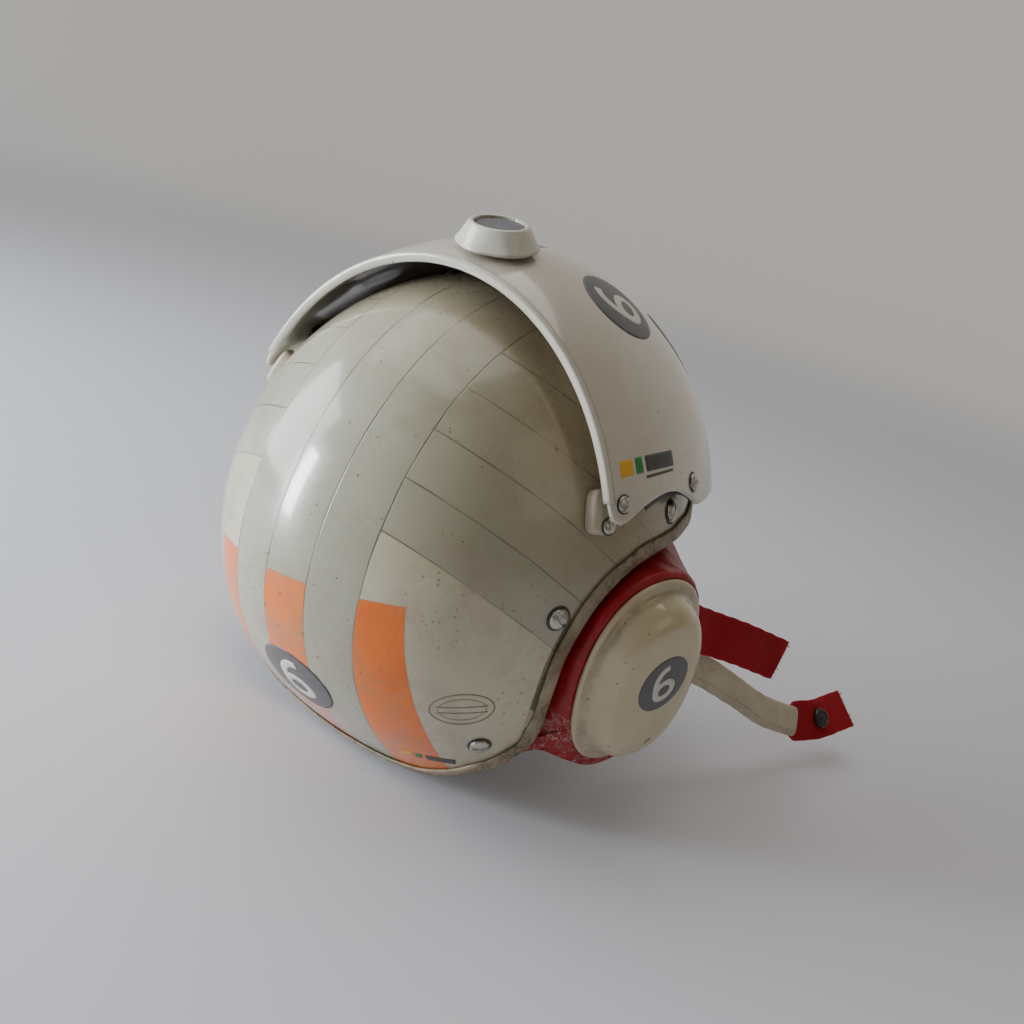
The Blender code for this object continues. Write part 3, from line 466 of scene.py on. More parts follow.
def mat_gloss_white(name, base, yellow, dirt=0.5, seed=0.0, coat=0.5, crease=None):
    nb = NB(name)
    cloud = nb.noise(14, 4.0, 0.6, w=seed)
    col = nb.mix(nb.ramp(cloud, 0.35, 0.7), base, yellow)
    sp = nb.mul(nb.step(nb.voro(170, out="Distance"), 0.13, 0.06), nb.step(nb.noise(30, 2.0, w=seed + 2), 0.53, 0.60))
    col = nb.mix(nb.mul(sp, 0.8), col, (0.10, 0.07, 0.04))
    sm = nb.mul(nb.ramp(nb.noise(38, 5.0, 0.7, dist=0.8, w=seed + 4), 0.55, 0.72), dirt)
    col = nb.mix(nb.mul(sm, 0.5), col, (0.36, 0.30, 0.20))
    scr = nb.op("MAXIMUM", scratches(nb, (0.2, 0.9, 0.4), 62, 0.71, 0.73, seed + 1), scratches(nb, (1.0, 0.2, 1.3), 50, 0.72, 0.74, seed + 6))
    col = nb.mix(nb.mul(scr, 0.28), col, (0.42, 0.38, 0.30))
    if crease:
        # grime and painted shade gathered along the creases the mesh marks
        a = nb.attr("crease")
        g = nb.mul(a, nb.ramp(nb.noise(60, 4.0, 0.7, w=seed + 8), 0.32, 0.62))
        col = nb.mix(nb.mul(g, crease), col, (0.13, 0.095, 0.05))
    rough = nb.ramp(nb.noise(28, 4.0, 0.6, w=seed + 3), 0.3, 0.7, 0.09, 0.22)
    h = nb.add(nb.mul(nb.noise(10, 2.0, w=seed), 0.7), nb.mul(nb.noise(260, 2.0, w=seed), 0.06))
    h = nb.sub(h, nb.mul(scr, 0.3))
    return nb.out(col, rough, 0.0, nb.bump(h, 0.3, 0.0004), 0.5, coat, 0.06)


def mat_trim():
    nb = NB("edge_trim_vinyl")
    c = nb.ramp(nb.noise(55, 5.0, 0.7), 0.3, 0.7)
    col = nb.mix(c, (0.17, 0.125, 0.07), (0.40, 0.33, 0.23))
    col = nb.mix(nb.mul(nb.ramp(nb.noise(18, 3.0, w=3.0), 0.45, 0.7), 0.7), col, (0.45, 0.39, 0.29))
    crack = nb.op("MAXIMUM", cracks(nb, 90, 1.0, 0.006, 0.025), cracks(nb, 160, 5.0, 0.006, 0.025))
    crack = nb.mul(crack, nb.ramp(nb.noise(50, 2.0, w=2.0), 0.4, 0.6))
    col = nb.mix(nb.mul(crack, 0.7), col, (0.05, 0.035, 0.02))
    h = nb.sub(nb.mul(nb.noise(120, 5.0, 0.65), 0.8), nb.mul(crack, 0.5))
    return nb.out(col, nb.ramp(c, 0, 1, 0.65, 0.42), 0.0, nb.bump(h, 0.6, 0.0006), 0.4)


def cracks(nb, scale, w, lo=0.004, hi=0.016, detail=4.0):
    """thin wandering lines."""
    return nb.step(nb.op("ABSOLUTE", nb.sub(nb.noise(scale, detail, 0.6, w=w, dist=0.6), 0.5)), hi, lo)


def mat_flap():
    nb = NB("red_flap_vinyl")
    c = nb.noise(22, 4.0, 0.6)
    col = nb.mix(nb.ramp(c, 0.3, 0.7), (0.26, 0.002, 0.006), (0.40, 0.005, 0.012))
    low = nb.attr("low")
    cr = nb.op("MAXIMUM", cracks(nb, 42, 1.0), cracks(nb, 75, 8.0))
    cr = nb.mul(cr, nb.mul(low, nb.ramp(nb.noise(50, 3.0, w=2.0), 0.40, 0.55)))
    col = nb.mix(nb.mul(cr, 0.75), col, (0.62, 0.45, 0.40))
    col = nb.mix(nb.mul(nb.ramp(nb.noise(70, 4.0, 0.7, w=5.0), 0.55, 0.72), 0.35), col, (0.10, 0.004, 0.006))
    grain = nb.voro(900, "SMOOTH_F1")
    wr = nb.noise(55, 3.0, 0.55, dist=1.2)
    h = nb.add(nb.mul(grain, 0.12), nb.mul(wr, 1.2))
    h = nb.sub(h, nb.mul(cr, 0.5))
    return nb.out(col, nb.ramp(nb.noise(40, 3.0, w=1.0), 0.3, 0.7, 0.30, 0.50), 0.0, nb.bump(h, 0.6, 0.0009), 0.4, 0.08, 0.25)


def mat_web(name, c0, c1, pitch=1.1):
    nb = NB(name)
    a, t = nb.attr("along"), nb.attr("across")
    ribs = nb.op("ABSOLUTE", nb.op("SINE", nb.mul(t, math.pi / 1.35)))
    tw = nb.op("SINE", nb.mul(nb.add(a, nb.mul(nb.op("FLOOR", nb.op("DIVIDE", t, 1.35)), pitch * 0.5)), 2 * math.pi / pitch))
    tw = nb.ramp(tw, -1.0, 1.0)
    weave = nb.mul(nb.op("POWER", nb.add(ribs, 0.02), 0.6), nb.add(nb.mul(tw, 0.55), 0.45))
    wear = nb.ramp(nb.noise(40, 4.0, 0.65), 0.3, 0.7)
    col = nb.mix(wear, c0, c1)
    # painted shade in the gaps between the yarns of the weave
    col = nb.mix(nb.mul(nb.sub(1.0, weave), 0.45), col, (c0[0] * 0.5, c0[1] * 0.5, c0[2] * 0.5))
    fuzz = nb.noise(900, 2.0)
    edge = nb.step(nb.op("ABSOLUTE", t), 10.6, 12.2)
    col = nb.mix(nb.mul(edge, 0.3), col, (min(1, c1[0] * 1.25), c1[1] * 1.6, c1[2] * 1.6))
    h = nb.add(weave, nb.mul(fuzz, 0.3))
    return nb.out(col, 0.78, 0.0, nb.bump(h, 0.45, 0.0003), 0.2, 0, 0, 0.06)


def mat_leather(name, c0, c1, stain, grain=700, rough=(0.45, 0.7), seed=0.0, bumps=0.6):
    nb = NB(name)
    c = nb.ramp(nb.noise(35, 4.0, 0.65, w=seed), 0.3, 0.7)
    col = nb.mix(c, c0, c1)
    st = nb.mul(nb.ramp(nb.noise(60, 5.0, 0.7, w=seed + 3, dist=0.8), 0.5, 0.7), 0.6)
    col = nb.mix(st, col, stain)
    g = nb.voro(grain, "SMOOTH_F1")
    wr = nb.noise(80, 4.0, 0.6, dist=1.5, w=seed)
    h = nb.add(nb.mul(g, 0.35), nb.mul(wr, 0.9))
    return nb.out(col, nb.ramp(nb.noise(50, 3.0, w=seed + 1), 0.3, 0.7, rough[0], rough[1]), 0.0, nb.bump(h, bumps, 0.0006), 0.4)


def mat_steel(name, c0=(0.56, 0.54, 0.49), rust=0.35):
    nb = NB(name)
    c = nb.ramp(nb.noise(260, 4.0, 0.65), 0.35, 0.7)
    col = nb.mix(nb.mul(c, rust), c0, (0.20, 0.13, 0.07))
    brushed = nb.noise(500, 2.0, stretch=((1.0, 14.0, 1.0), (0.4, 0.2, 0.7)))
    r = nb.add(nb.ramp(brushed, 0.3, 0.7, 0.16, 0.34), nb.mul(c, 0.15))
    return nb.out(col, r, 1.0, nb.bump(nb.add(brushed, nb.mul(c, -0.5)), 0.2, 0.0002))


def mat_plastic(name, c0, c1, rough=(0.4, 0.55), scale=60, grain=1200, seed=0.0, bump=0.25, alpha=None):
    nb = NB(name)
    c = nb.ramp(nb.noise(scale, 4.0, 0.6, w=seed), 0.3, 0.7)
    col = nb.mix(c, c0, c1)
    h = nb.add(nb.mul(nb.noise(grain, 2.0, w=seed), 0.4), nb.noise(40, 2.0, w=seed))
    return nb.out(col, nb.ramp(c, 0, 1, rough[0], rough[1]), 0.0, nb.bump(h, bump, 0.0003), 0.5)


def mat_foam():
    nb = NB("liner_foam_beads")
    cell = nb.voro(330, "DISTANCE_TO_EDGE")
    # painted shade in the crevices between the foam beads
    col = nb.mix(nb.step(cell, 0.02, 0.10), (0.03, 0.03, 0.032), (0.10, 0.10, 0.105))
    return nb.out(col, 0.85, 0.0, nb.bump(nb.op("MINIMUM", cell, 0.2), 0.8, 0.001), 0.3)


MAT_SHELL = mat_shell()
MAT_HOUSE = mat_gloss_white("housing_white", (0.62, 0.575, 0.50), (0.56, 0.505, 0.41), 0.75, 20.0, 0.9)
MAT_CUP = mat_gloss_white("cup_white", (0.57, 0.485, 0.32), (0.50, 0.405, 0.21), 0.45, 30.0, 0.9, 0.55)
MAT_KNOB = mat_gloss_white("knob_white", (0.66, 0.63, 0.55), (0.60, 0.56, 0.46), 0.5, 40.0, 0.3, 0.8)
MAT_BEAD = mat_gloss_white("rim_bead_white", (0.60, 0.57, 0.50), (0.50, 0.46, 0.37), 0.8, 50.0, 0.3)
MAT_TRIM = mat_trim()
MAT_FLAP = mat_flap()
MAT_RED = mat_web("red_webbing", (0.33, 0.003, 0.010), (0.42, 0.006, 0.016))
MAT_HIDE = mat_leather("strap_hide", (0.46, 0.40, 0.29), (0.58, 0.52, 0.41), (0.27, 0.20, 0.12), 600, (0.55, 0.8), 3.0, 0.8)
MAT_PAD = mat_leather("pad_black_hide", (0.035, 0.032, 0.030), (0.06, 0.055, 0.05), (0.09, 0.08, 0.07), 650, (0.42, 0.62), 7.0, 0.6)
MAT_SEAL = mat_leather("seal_black_vinyl", (0.018, 0.018, 0.018), (0.035, 0.034, 0.033), (0.06, 0.055, 0.05), 900, (0.35, 0.5), 9.0, 0.45)
MAT_STEEL = mat_steel("fastener_steel")
MAT_STUD = mat_steel("stud_steel", (0.60, 0.60, 0.60), 0.15)
MAT_ARM = mat_steel("arm_aluminium", (0.52, 0.52, 0.53), 0.2)
MAT_BRACKET = mat_plastic("bracket_beige", (0.47, 0.41, 0.29), (0.60, 0.55, 0.43), (0.34, 0.5), 80, 900, 2.0, 0.35)
MAT_BLACK = mat_plastic("black_plastic", (0.018, 0.018, 0.018), (0.035, 0.033, 0.03), (0.3, 0.45), 90, 900, 4.0)
MAT_SNAP = mat_plastic("snap_black", (0.012, 0.012, 0.012), (0.03, 0.028, 0.026), (0.18, 0.3), 90, 900, 5.0)
MAT_GUIDE = mat_plastic("guide_black", (0.03, 0.03, 0.03), (0.05, 0.05, 0.048), (0.5, 0.6), 50, 1200, 6.0)
MAT_INSET = mat_plastic("inset_grey", (0.085, 0.085, 0.10), (0.13, 0.13, 0.15), (0.35, 0.5), 70, 700, 8.0)
MAT_DISC = mat_plastic("roundel_grey", (0.085, 0.085, 0.09), (0.125, 0.125, 0.13), (0.3, 0.42), 70, 700, 12.0, 0.15)
MAT_DIGIT = mat_plastic("digit_white", (0.60, 0.59, 0.53), (0.68, 0.67, 0.62), (0.3, 0.42), 70, 700, 13.0, 0.15)
MAT_INK = mat_plastic("stamp_ink", (0.24, 0.19, 0.13), (0.34, 0.28, 0.20), (0.5, 0.6), 300, 700, 14.0, 0.1)
MAT_YEL = mat_plastic("label_yellow", (0.75, 0.42, 0.03), (0.70, 0.38, 0.03), (0.3, 0.4), 90, 700, 15.0, 0.1)
MAT_GRN = mat_plastic("label_green", (0.03, 0.25, 0.05), (0.03, 0.20, 0.05), (0.3, 0.4), 90, 700, 16.0, 0.1)
MAT_DARK = mat_plastic("label_dark", (0.05, 0.05, 0.05), (0.08, 0.08, 0.08), (0.3, 0.4), 90, 700, 17.0, 0.1)
MAT_FOAM = mat_foam()
MAT_THREAD = mat_plastic("thread_tan", (0.42, 0.36, 0.26), (0.50, 0.44, 0.33), (0.6, 0.7), 400, 900, 18.0)

lens = NB("smoked_lens_clear")
lens.b.inputs["Base Color"].default_value = (0.035, 0.035, 0.04, 1)
lens.b.inputs["Roughness"].default_value = 0.05
lens.b.inputs["Coat Weight"].default_value = 0.6
lens.b.inputs["Coat Roughness"].default_value = 0.03
_r = lens.ramp(lens.noise(30, 4.0, 0.6), 0.35, 0.7, 0.04, 0.14)
lens.put(lens.b.inputs["Roughness"], _r)
lens.put(lens.b.inputs["Normal"], lens.bump(scratches(lens, (0.4, 0.4, 0.4), 70, 0.7, 0.72), 0.12, 0.0002))
MAT_LENS = lens.m

# ------------------------------------------------------------------ the CAD's surfaces
SHELL_A, SHELL_B, SHELL_C, SHELL_T = 120.0, 136.0, 136.0, 3.0
TAPER_X, TAPER_Y, MID_EL = 0.09, 0.40, 40.0
HOUSE_A, HOUSE_B, HOUSE_FRONT, HOUSE_T = 131.0, 154.2, 151.5, 2.6
RIM_Y = 57.5
EDGE = [
    (0, 62, -118), (-25, 62.5, -117), (-48, 62, -112.5), (-68, 63, -102), (-83, 61, -91),
    (-94, 57.5, -81), (-101, 53.5, -71), (-104.5, 54.5, -57), (-106, 57, -40), (-107, 58.5, -22),
    (-108, 57, -6), (-110, 51, 9), (-112.5, 42, 21), (-115, 28, 30), (-116, 10, 35), (-116, -10, 37),
    (-113, -31, 38.5), (-107, -51, 40), (-97, -71, 42), (-82, -92, 45), (-60, -111, 48), (-32, -125, 50),
    (0, -129, 51),
]
HOUSE_EDGE = [
    (0, -148, 53), (-40, -141, 54), (-76, -119, 56), (-101, -84, 57), (-116, -48, 57.5),
    (-122, -20, 58), (-121, -10, 62.5), (-119, 4, 67.5), (-118, 16, 68.5), (-117, 28, 66), (-116, 38, 62),
    (-115, 46, 57.5), (-113.5, 51.5, 55.5), (-112, 56, 58),
]


def shell_value(p):
    s = np.clip(-p[..., 2], 0, None) / 100
    z = np.clip(p[..., 2], 0, None)
    return (p[..., 0] / (SHELL_A * (1 - TAPER_X * s * s))) ** 2 + (p[..., 1] / (SHELL_B * (1 - TAPER_Y * s * s))) ** 2 + (z / SHELL_C) ** 2 - 1


def shell_normal(p):
    g = np.zeros_like(p)
    for i in range(3):
        e = np.zeros(3)
        e[i] = 0.05
        g[..., i] = shell_value(p + e) - shell_value(p - e)
    return unit(g)


def shell_point(d, off=0.0):
    d = unit(d)
    lo, hi = np.full(d.shape[:-1], 60.0), np.full(d.shape[:-1], 150.0)
    for _ in range(34):
        m = (lo + hi) / 2
        inside = shell_value(m[..., None] * d) < 0
        lo, hi = np.where(inside, m, lo), np.where(inside, hi, m)
    p = lo[..., None] * d
    return p + off * shell_normal(p)


def dir_of(az, el):
    az, el = np.radians(az), np.radians(el)
    return np.stack([-np.sin(az) * np.cos(el), np.cos(az) * np.cos(el), np.sin(el)], -1)


def az_el(p):
    p = np.asarray(p, float)
    return np.degrees(np.arctan2(-p[..., 0], p[..., 1])) % 360, np.degrees(np.arctan2(p[..., 2], np.hypot(p[..., 0], p[..., 1])))


def edge_frame(half_n, fine):
    """the edge loop of the CAD (half_n stations a side), refined by a whole number."""
    half = smooth_curve(EDGE, half_n)
    half[0, 0] = half[-1, 0] = 0
    loop = np.vstack([half, (half * MIRROR)[-2:0:-1]])
    if fine > 1:
        loop = catmull(loop, fine, True)
    az, el = az_el(loop)
    az = np.degrees(np.unwrap(np.radians(az)))
    az = az - az[0]
    n = len(loop)
    p = shell_point(dir_of(az, el))
    nr = shell_normal(p)
    tg = unit(np.roll(p, -1, 0) - np.roll(p, 1, 0))
    into = unit(np.cross(nr, tg))
    if into[0, 2] < 0:
        into = -into
    return az, el, n, p, nr, tg, into


C_AZ, C_EL, C_N, C_P, C_NR, C_TG, C_IN = edge_frame(26, 1)
F_AZ, F_EL, F_N, F_P, F_NR, F_TG, F_IN = edge_frame(26, 5)


def shell_grid(off, n_rows=22, cap_rows=14):
    m_az = 360.0 * np.arange(F_N) / F_N
    m_el = np.full(F_N, MID_EL)
    a1, e1 = az_el(F_P + F_IN * 8.0)
    a1 = np.degrees(np.unwrap(np.radians(a1)))
    a1 = a1 - 360 * np.round((a1[0]) / 360)
    rows = [shell_point(dir_of(F_AZ, F_EL), off)]
    a05, e05 = az_el(F_P + F_IN * 4.0)
    rows.append(shell_point(dir_of(a05, e05), off))
    for f in np.linspace(0, 1, n_rows):
        rows.append(shell_point(dir_of(a1 + (m_az - a1) * f, e1 + (m_el - e1) * f), off))
    for k in range(1, cap_rows + 1):
        e = MID_EL + (90 - MID_EL) * k / cap_rows
        rows.append(shell_point(dir_of(m_az, np.full(F_N, min(e, 89.99))), off))
    return np.array(rows)


# ------------------------------------------------------------------ shell
go = shell_grid(0.0)
gi = shell_grid(-SHELL_T)
G = np.concatenate([go[::-1], gi])  # crown, down the outside, round the edge, up the inside
dist_out = np.concatenate([np.zeros((1, F_N)), np.cumsum(np.linalg.norm(np.diff(go, axis=0), axis=2), axis=0)])
E = np.concatenate([dist_out[::-1], dist_out])
INNER = np.concatenate([np.zeros_like(dist_out), np.ones_like(dist_out)])
shell = loft("shell_skin", G, MAT_SHELL, {"edge": E, "inner": INNER}, True, "fan", "fan")
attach(shell, "helmet")
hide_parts("outer_shell")

# trim with a soft rounded section that wanders a little
sec = [(5.8, 0.45), (-0.4, 0.5), (-0.4, -3.7), (5.4, -3.7), (5.6, -4.3), (5.2, -4.8), (-0.9, -4.9), (-1.7, -4.4), (-2.1, -3.6), (-2.3, -1.6), (-2.1, 0.5), (-1.6, 1.3), (-0.8, 1.75), (2.0, 1.9), (5.2, 1.75), (5.9, 1.2)]
nt = unit(F_NR - np.sum(F_NR * F_IN, 1)[:, None] * F_IN)
ph = np.linspace(0, 2 * np.pi, F_N, endpoint=False)
wid = 1 + 0.07 * np.sin(9 * ph + 1) + 0.05 * np.sin(23 * ph) + 0.04 * np.sin(41 * ph + 2)
ring = []
for i, (a, b) in enumerate(sec):
    grow = wid if (a > 1 and b > 0) else np.ones(F_N)
    bb = b + (0.12 * np.sin(31 * ph + i) if b > 1 else 0)
    ring.append(F_P + F_IN * (a * grow)[:, None] + nt * (bb * np.ones(F_N))[:, None])
trim = loft("edge_trim_skin", np.array(ring).transpose(1, 0, 2), MAT_TRIM, None, True, close_r=True)
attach(trim, "helmet")
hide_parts("edge_trim")

# ------------------------------------------------------------------ visor housing


def rev_normal(p, a, b):
    f = np.where(p[..., 1] < 0, HOUSE_FRONT, b)
    return unit(np.stack([p[..., 0] / a**2, p[..., 1] / f**2, p[..., 2] / b**2], -1))


def rev_point(d, a=HOUSE_A, b=HOUSE_B, off=0.0):
    d = unit(d)
    f = np.where(d[..., 1] < 0, HOUSE_FRONT, b)
    r = 1 / np.sqrt((d[..., 0] / a) ** 2 + (d[..., 1] / f) ** 2 + (d[..., 2] / b) ** 2)
    p = r[..., None] * d
    return p + off * rev_normal(p, a, b)


def slerp(a, b, t):
    a = np.broadcast_to(a, b.shape)
    w = np.arccos(np.clip(np.sum(a * b, -1), -1, 1))[..., None]
    return (np.sin((1 - t) * w) * a + np.sin(t * w) * b) / np.sin(w)


rim_half = []
for x in (-110.5, -108.5, -105, -98, -88, -75, -60, -42, -22, 0):
    rho = HOUSE_B * math.sqrt(1 - (x / HOUSE_A) ** 2)
    yy = RIM_Y if x > -108 else RIM_Y - (-108 - x) * 0.4
    rim_half.append((x, yy, math.sqrt(rho * rho - yy * yy)))
low = smooth_curve(HOUSE_EDGE, 90)
rim = smooth_curve(rim_half, 64)
low[0, 0] = 0
rim[-1, 0] = 0
hhalf = np.vstack([low, rim])
hloop = np.vstack([hhalf, (hhalf * MIRROR)[-2:0:-1]])
NH = len(hloop)
R0, R1 = len(low), len(hhalf) - 1
pole = unit(np.array([0, -0.42, 0.91]))
bd = unit(hloop)
ts = [1.0, 0.992, 0.975, 0.95] + list(np.linspace(0.92, 0.0, 26)[:-1])
rows_o = [rev_point(slerp(pole, bd, t)) for t in ts] + [np.repeat(rev_point(pole[None]), NH, 0)]
rows_i = [rev_point(slerp(pole, bd, t), off=-HOUSE_T) for t in ts] + [np.repeat(rev_point(pole[None], off=-HOUSE_T), NH, 0)]
# rounded edge
mid_edge = [rev_point(slerp(pole, bd, 1.0 + 0.004), off=-HOUSE_T * f) for f in (0.25, 0.5, 0.75)]
G = np.concatenate([np.array(rows_o)[::-1], np.array(mid_edge), np.array(rows_i)])
house = loft("housing_skin", G, MAT_HOUSE, None, True, "fan", "fan")

# the stud's slot along the crown
bpy.ops.mesh.primitive_cube_add(size=1, location=(0, -0.036, 0.150))
cutter = bpy.context.active_object
cutter.scale = (0.0092, 0.148, 0.12)
bpy.context.view_layer.update()
md = house.modifiers.new("slot", "BOOLEAN")
md.operation = "DIFFERENCE"
md.solver = "EXACT"
md.object = cutter
bpy.context.view_layer.update()
dg = bpy.context.evaluated_depsgraph_get()
nm = bpy.data.meshes.new_from_object(house.evaluated_get(dg))
house.modifiers.clear()
house.data = nm
bpy.data.objects.remove(cutter)
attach(house, "helmet")
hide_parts("visor_housing")

# bead on the rear rim: a white channel, with a dark strip of painted shade beside it where the gap is
ri = list(range(R0 + 2, R1 + 1)) + [NH - k for k in range(R1 - 1, R0 + 1, -1)]
rp = rev_point(bd[ri])
rn = rev_normal(rp, HOUSE_A, HOUSE_B)
rt = unit(np.gradient(rp, axis=0))
rm = rev_point(slerp(pole, bd[ri], 0.97)) - rp
rm = unit(rm - np.sum(rm * rt, 1)[:, None] * rt)
rn = unit(rn - np.sum(rn * rm, 1)[:, None] * rm)
sec = [(2.0, 0.26), (-0.3, 0.3), (-0.3, -2.9), (1.8, -2.95), (2.0, -3.3), (1.8, -3.65), (-0.5, -3.7), (-1.1, -3.4), (-1.45, -2.6), (-1.5, -1.2), (-1.35, 0.1), (-0.95, 0.75), (-0.2, 1.05), (1.4, 1.1), (1.9, 0.95), (2.1, 0.6)]
ring = np.array([rp + rm * a + rn * b for a, b in sec]).transpose(1, 0, 2)
bead = loft("rim_bead_skin", ring, MAT_BEAD, None, True, "fan", "fan")
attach(bead, "helmet")
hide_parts("housing_rim_trim")
# painted shade: a dark strip beside the bead stands in for the shade in the gap
ln = []
for a, b in ((2.2, 0.03), (2.2, 0.24), (2.8, 0.22), (2.8, 0.03)):
    ln.append(rev_point(rp + rm * a) + rev_normal(rev_point(rp + rm * a), HOUSE_A, HOUSE_B) * b)
gap_shade_strip = loft("rim_gap_shade", np.array(ln).transpose(1, 0, 2), MAT_DARK, None, True, "fan", "fan")
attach(gap_shade_strip, "helmet")

# ------------------------------------------------------------------ lens and its parts
LENS_A, LENS_B, LENS_T, LENS_HALF = 125.5, 146.0, 2.2, 103.0


def lens_low(x):
    rho = LENS_B * np.sqrt(1 - (x / LENS_A) ** 2)
    z = 58.0 + 5.0 * np.exp(-((x / 17.0) ** 2))
    return np.degrees(np.arcsin(np.minimum(z / rho, 1)))


def sheet_rows(a, b, xs, lo, hi, nr):
    rows = []
    for j in range(nr + 1):
        al = np.radians(lo + (hi - lo) * j / nr)
        rho = b * np.sqrt(1 - (xs / a) ** 2)
        rows.append(np.stack([xs, -rho * np.cos(al), rho * np.sin(al)], -1))
    return np.array(rows)


xs = np.linspace(-LENS_HALF, LENS_HALF, 97)
lo_, hi_ = lens_low(xs), 82.0 - 6 * (xs / LENS_HALF) ** 2
A = sheet_rows(LENS_A, LENS_B, xs, lo_, hi_, 32)
B = sheet_rows(LENS_A - LENS_T, LENS_B - LENS_T, xs, lo_, hi_, 32)
loopA = np.concatenate([A, B[::-1]])
lens_ob = loft("lens_skin", loopA.transpose(1, 0, 2), MAT_LENS, None, True, "none", "none", False)
# close the two side edges
me = lens_ob.data
import bmesh

bm = bmesh.new()
bm.from_mesh(me)
bmesh.ops.holes_fill(bm, edges=[e for e in bm.edges if e.is_boundary], sides=0)
bm.to_mesh(me)
bm.free()
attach(lens_ob, "visor")
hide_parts("visor_lens")

for n, m in (("slide_arm", MAT_ARM), ("side_guide_left", MAT_GUIDE), ("side_guide_right", MAT_GUIDE), ("foam_liner", MAT_FOAM), ("knob_stud", MAT_STUD),
             ("ear_back_ring_left", MAT_BLACK), ("ear_back_ring_right", MAT_BLACK)):
    NODES[n].data.materials.clear()
    NODES[n].data.materials.append(m)

ka = math.radians(101.5)
kn = np.array([0, -math.cos(ka), math.sin(ka)])
prof = round_profile([(0, 154.9), (19.8, 154.9), (21.0, 155.6), (21.0, 157.0), (20.2, 158.0), (18.6, 160.3), (16.0, 164.9), (14.9, 166.5), (13.6, 166.8), (12.6, 166.5), (12.35, 165.6), (12.3, 163.65), (0, 163.65)], 0.5, 4)
knob = lathe("knob_skin", prof, (0, 0, 0), kn, 96, MAT_KNOB)
kv = np.array([v.co for v in knob.data.vertices]) / MM
hh_ = kv @ kn
rad_ = kv - hh_[:, None] * kn
ku, kw, _ = frame_of(kn)
ang_ = np.arctan2(rad_ @ kw, rad_ @ ku)
rr_ = np.linalg.norm(rad_, axis=1)
lobe = 1 - 0.045 * np.clip((rr_ - 14.0) / 6.0, 0, 1) * (0.5 - 0.5 * np.cos(6 * ang_))
kv = hh_[:, None] * kn + rad_ * lobe[:, None]
knob.data.vertices.foreach_set("co", (kv * MM).astype(np.float32).reshape(-1))
h = np.array([v.co for v in knob.data.vertices]) / MM @ kn
r = np.linalg.norm(np.array([v.co for v in knob.data.vertices]) / MM - h[:, None] * kn, axis=1)
# grime and painted shade: darker where the knob sits on the housing and round the wall of the inset's pocket
cre = np.clip(1 - (h - 154.9) / 2.2, 0, 1) + np.clip(1 - np.abs(r - 12.6) / 0.8, 0, 1)
at = knob.data.attributes.new("crease", "FLOAT", "POINT")
at.data.foreach_set("value", np.clip(cre, 0, 1).astype(np.float32))
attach(knob, "knob")
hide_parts("lock_knob")
inset = lathe("knob_inset_skin", round_profile([(0, 163.9), (11.9, 163.9), (11.9, 165.2), (11.4, 165.55), (10.6, 165.4), (10.2, 165.55), (0, 165.7)], 0.2, 3), (0, 0, 0), kn, 72, MAT_INSET)
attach(inset, "knob")
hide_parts("knob_inset")

# ------------------------------------------------------------------ fasteners


def on_shell(p):
    q = shell_point(np.asarray(p, float)[None])[0]
    return q, shell_normal(q[None])[0]


def on_house(p):
    q = rev_point(np.asarray(p, float)[None])[0]
    return q, rev_normal(q[None], HOUSE_A, HOUSE_B)[0]


def slotted(name, p, n, r, h, body, node, dome=True, slot_w=1.1, ang=0.6, material=None, foot_ring=True):
    """a domed screw head with a cut slot; the slot is modelled, its flanks included."""
    u, v, w = frame_of(n)
    d = unit(math.cos(ang) * u + math.sin(ang) * v)
    e = np.cross(w, d)
    p = np.asarray(p, float)
    N = 64
    rads = list(np.linspace(0, 1, 15))
    t = np.linspace(0, 2 * np.pi, N, endpoint=False)
    rows = []
    for k in rads:
        rr = r * k
        hh = 0.3 + h * (math.sqrt(max(0.0, 1 - (0.93 * k) ** 2)) if dome else 1.0 - 0.25 * k**4)
        P = p + rr * (np.cos(t)[:, None] * d + np.sin(t)[:, None] * e) + w * hh
        across = rr * np.sin(t)
        depth = np.clip((slot_w / 2 + 0.18 - np.abs(across)) / 0.18, 0, 1)
        P = P - w * (depth * min(h * 0.5, 1.1))[:, None] * (1 if k < 0.985 else 0.6)
        rows.append(P)
    rows.append(p + r * (np.cos(t)[:, None] * d + np.sin(t)[:, None] * e) + w * 0.15)
    rows.append(p + r * 0.5 * (np.cos(t)[:, None] * d + np.sin(t)[:, None] * e) + w * 0.1)
    ob = loft(name, np.array(rows), material or MAT_STEEL, None, True, "none", "fan")
    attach(ob, body)
    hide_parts(node)
    # grime and painted shade: a dark ring round the foot of each head
    if foot_ring:
        ws = lathe(name + "_grime_and_shade", [(0, 0.03), (r * 1.18, 0.03), (r * 1.22, 0.12), (r * 1.05, 0.24), (0, 0.24)], p, n, 40, MAT_DARK)
        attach(ws, body)
    return ob


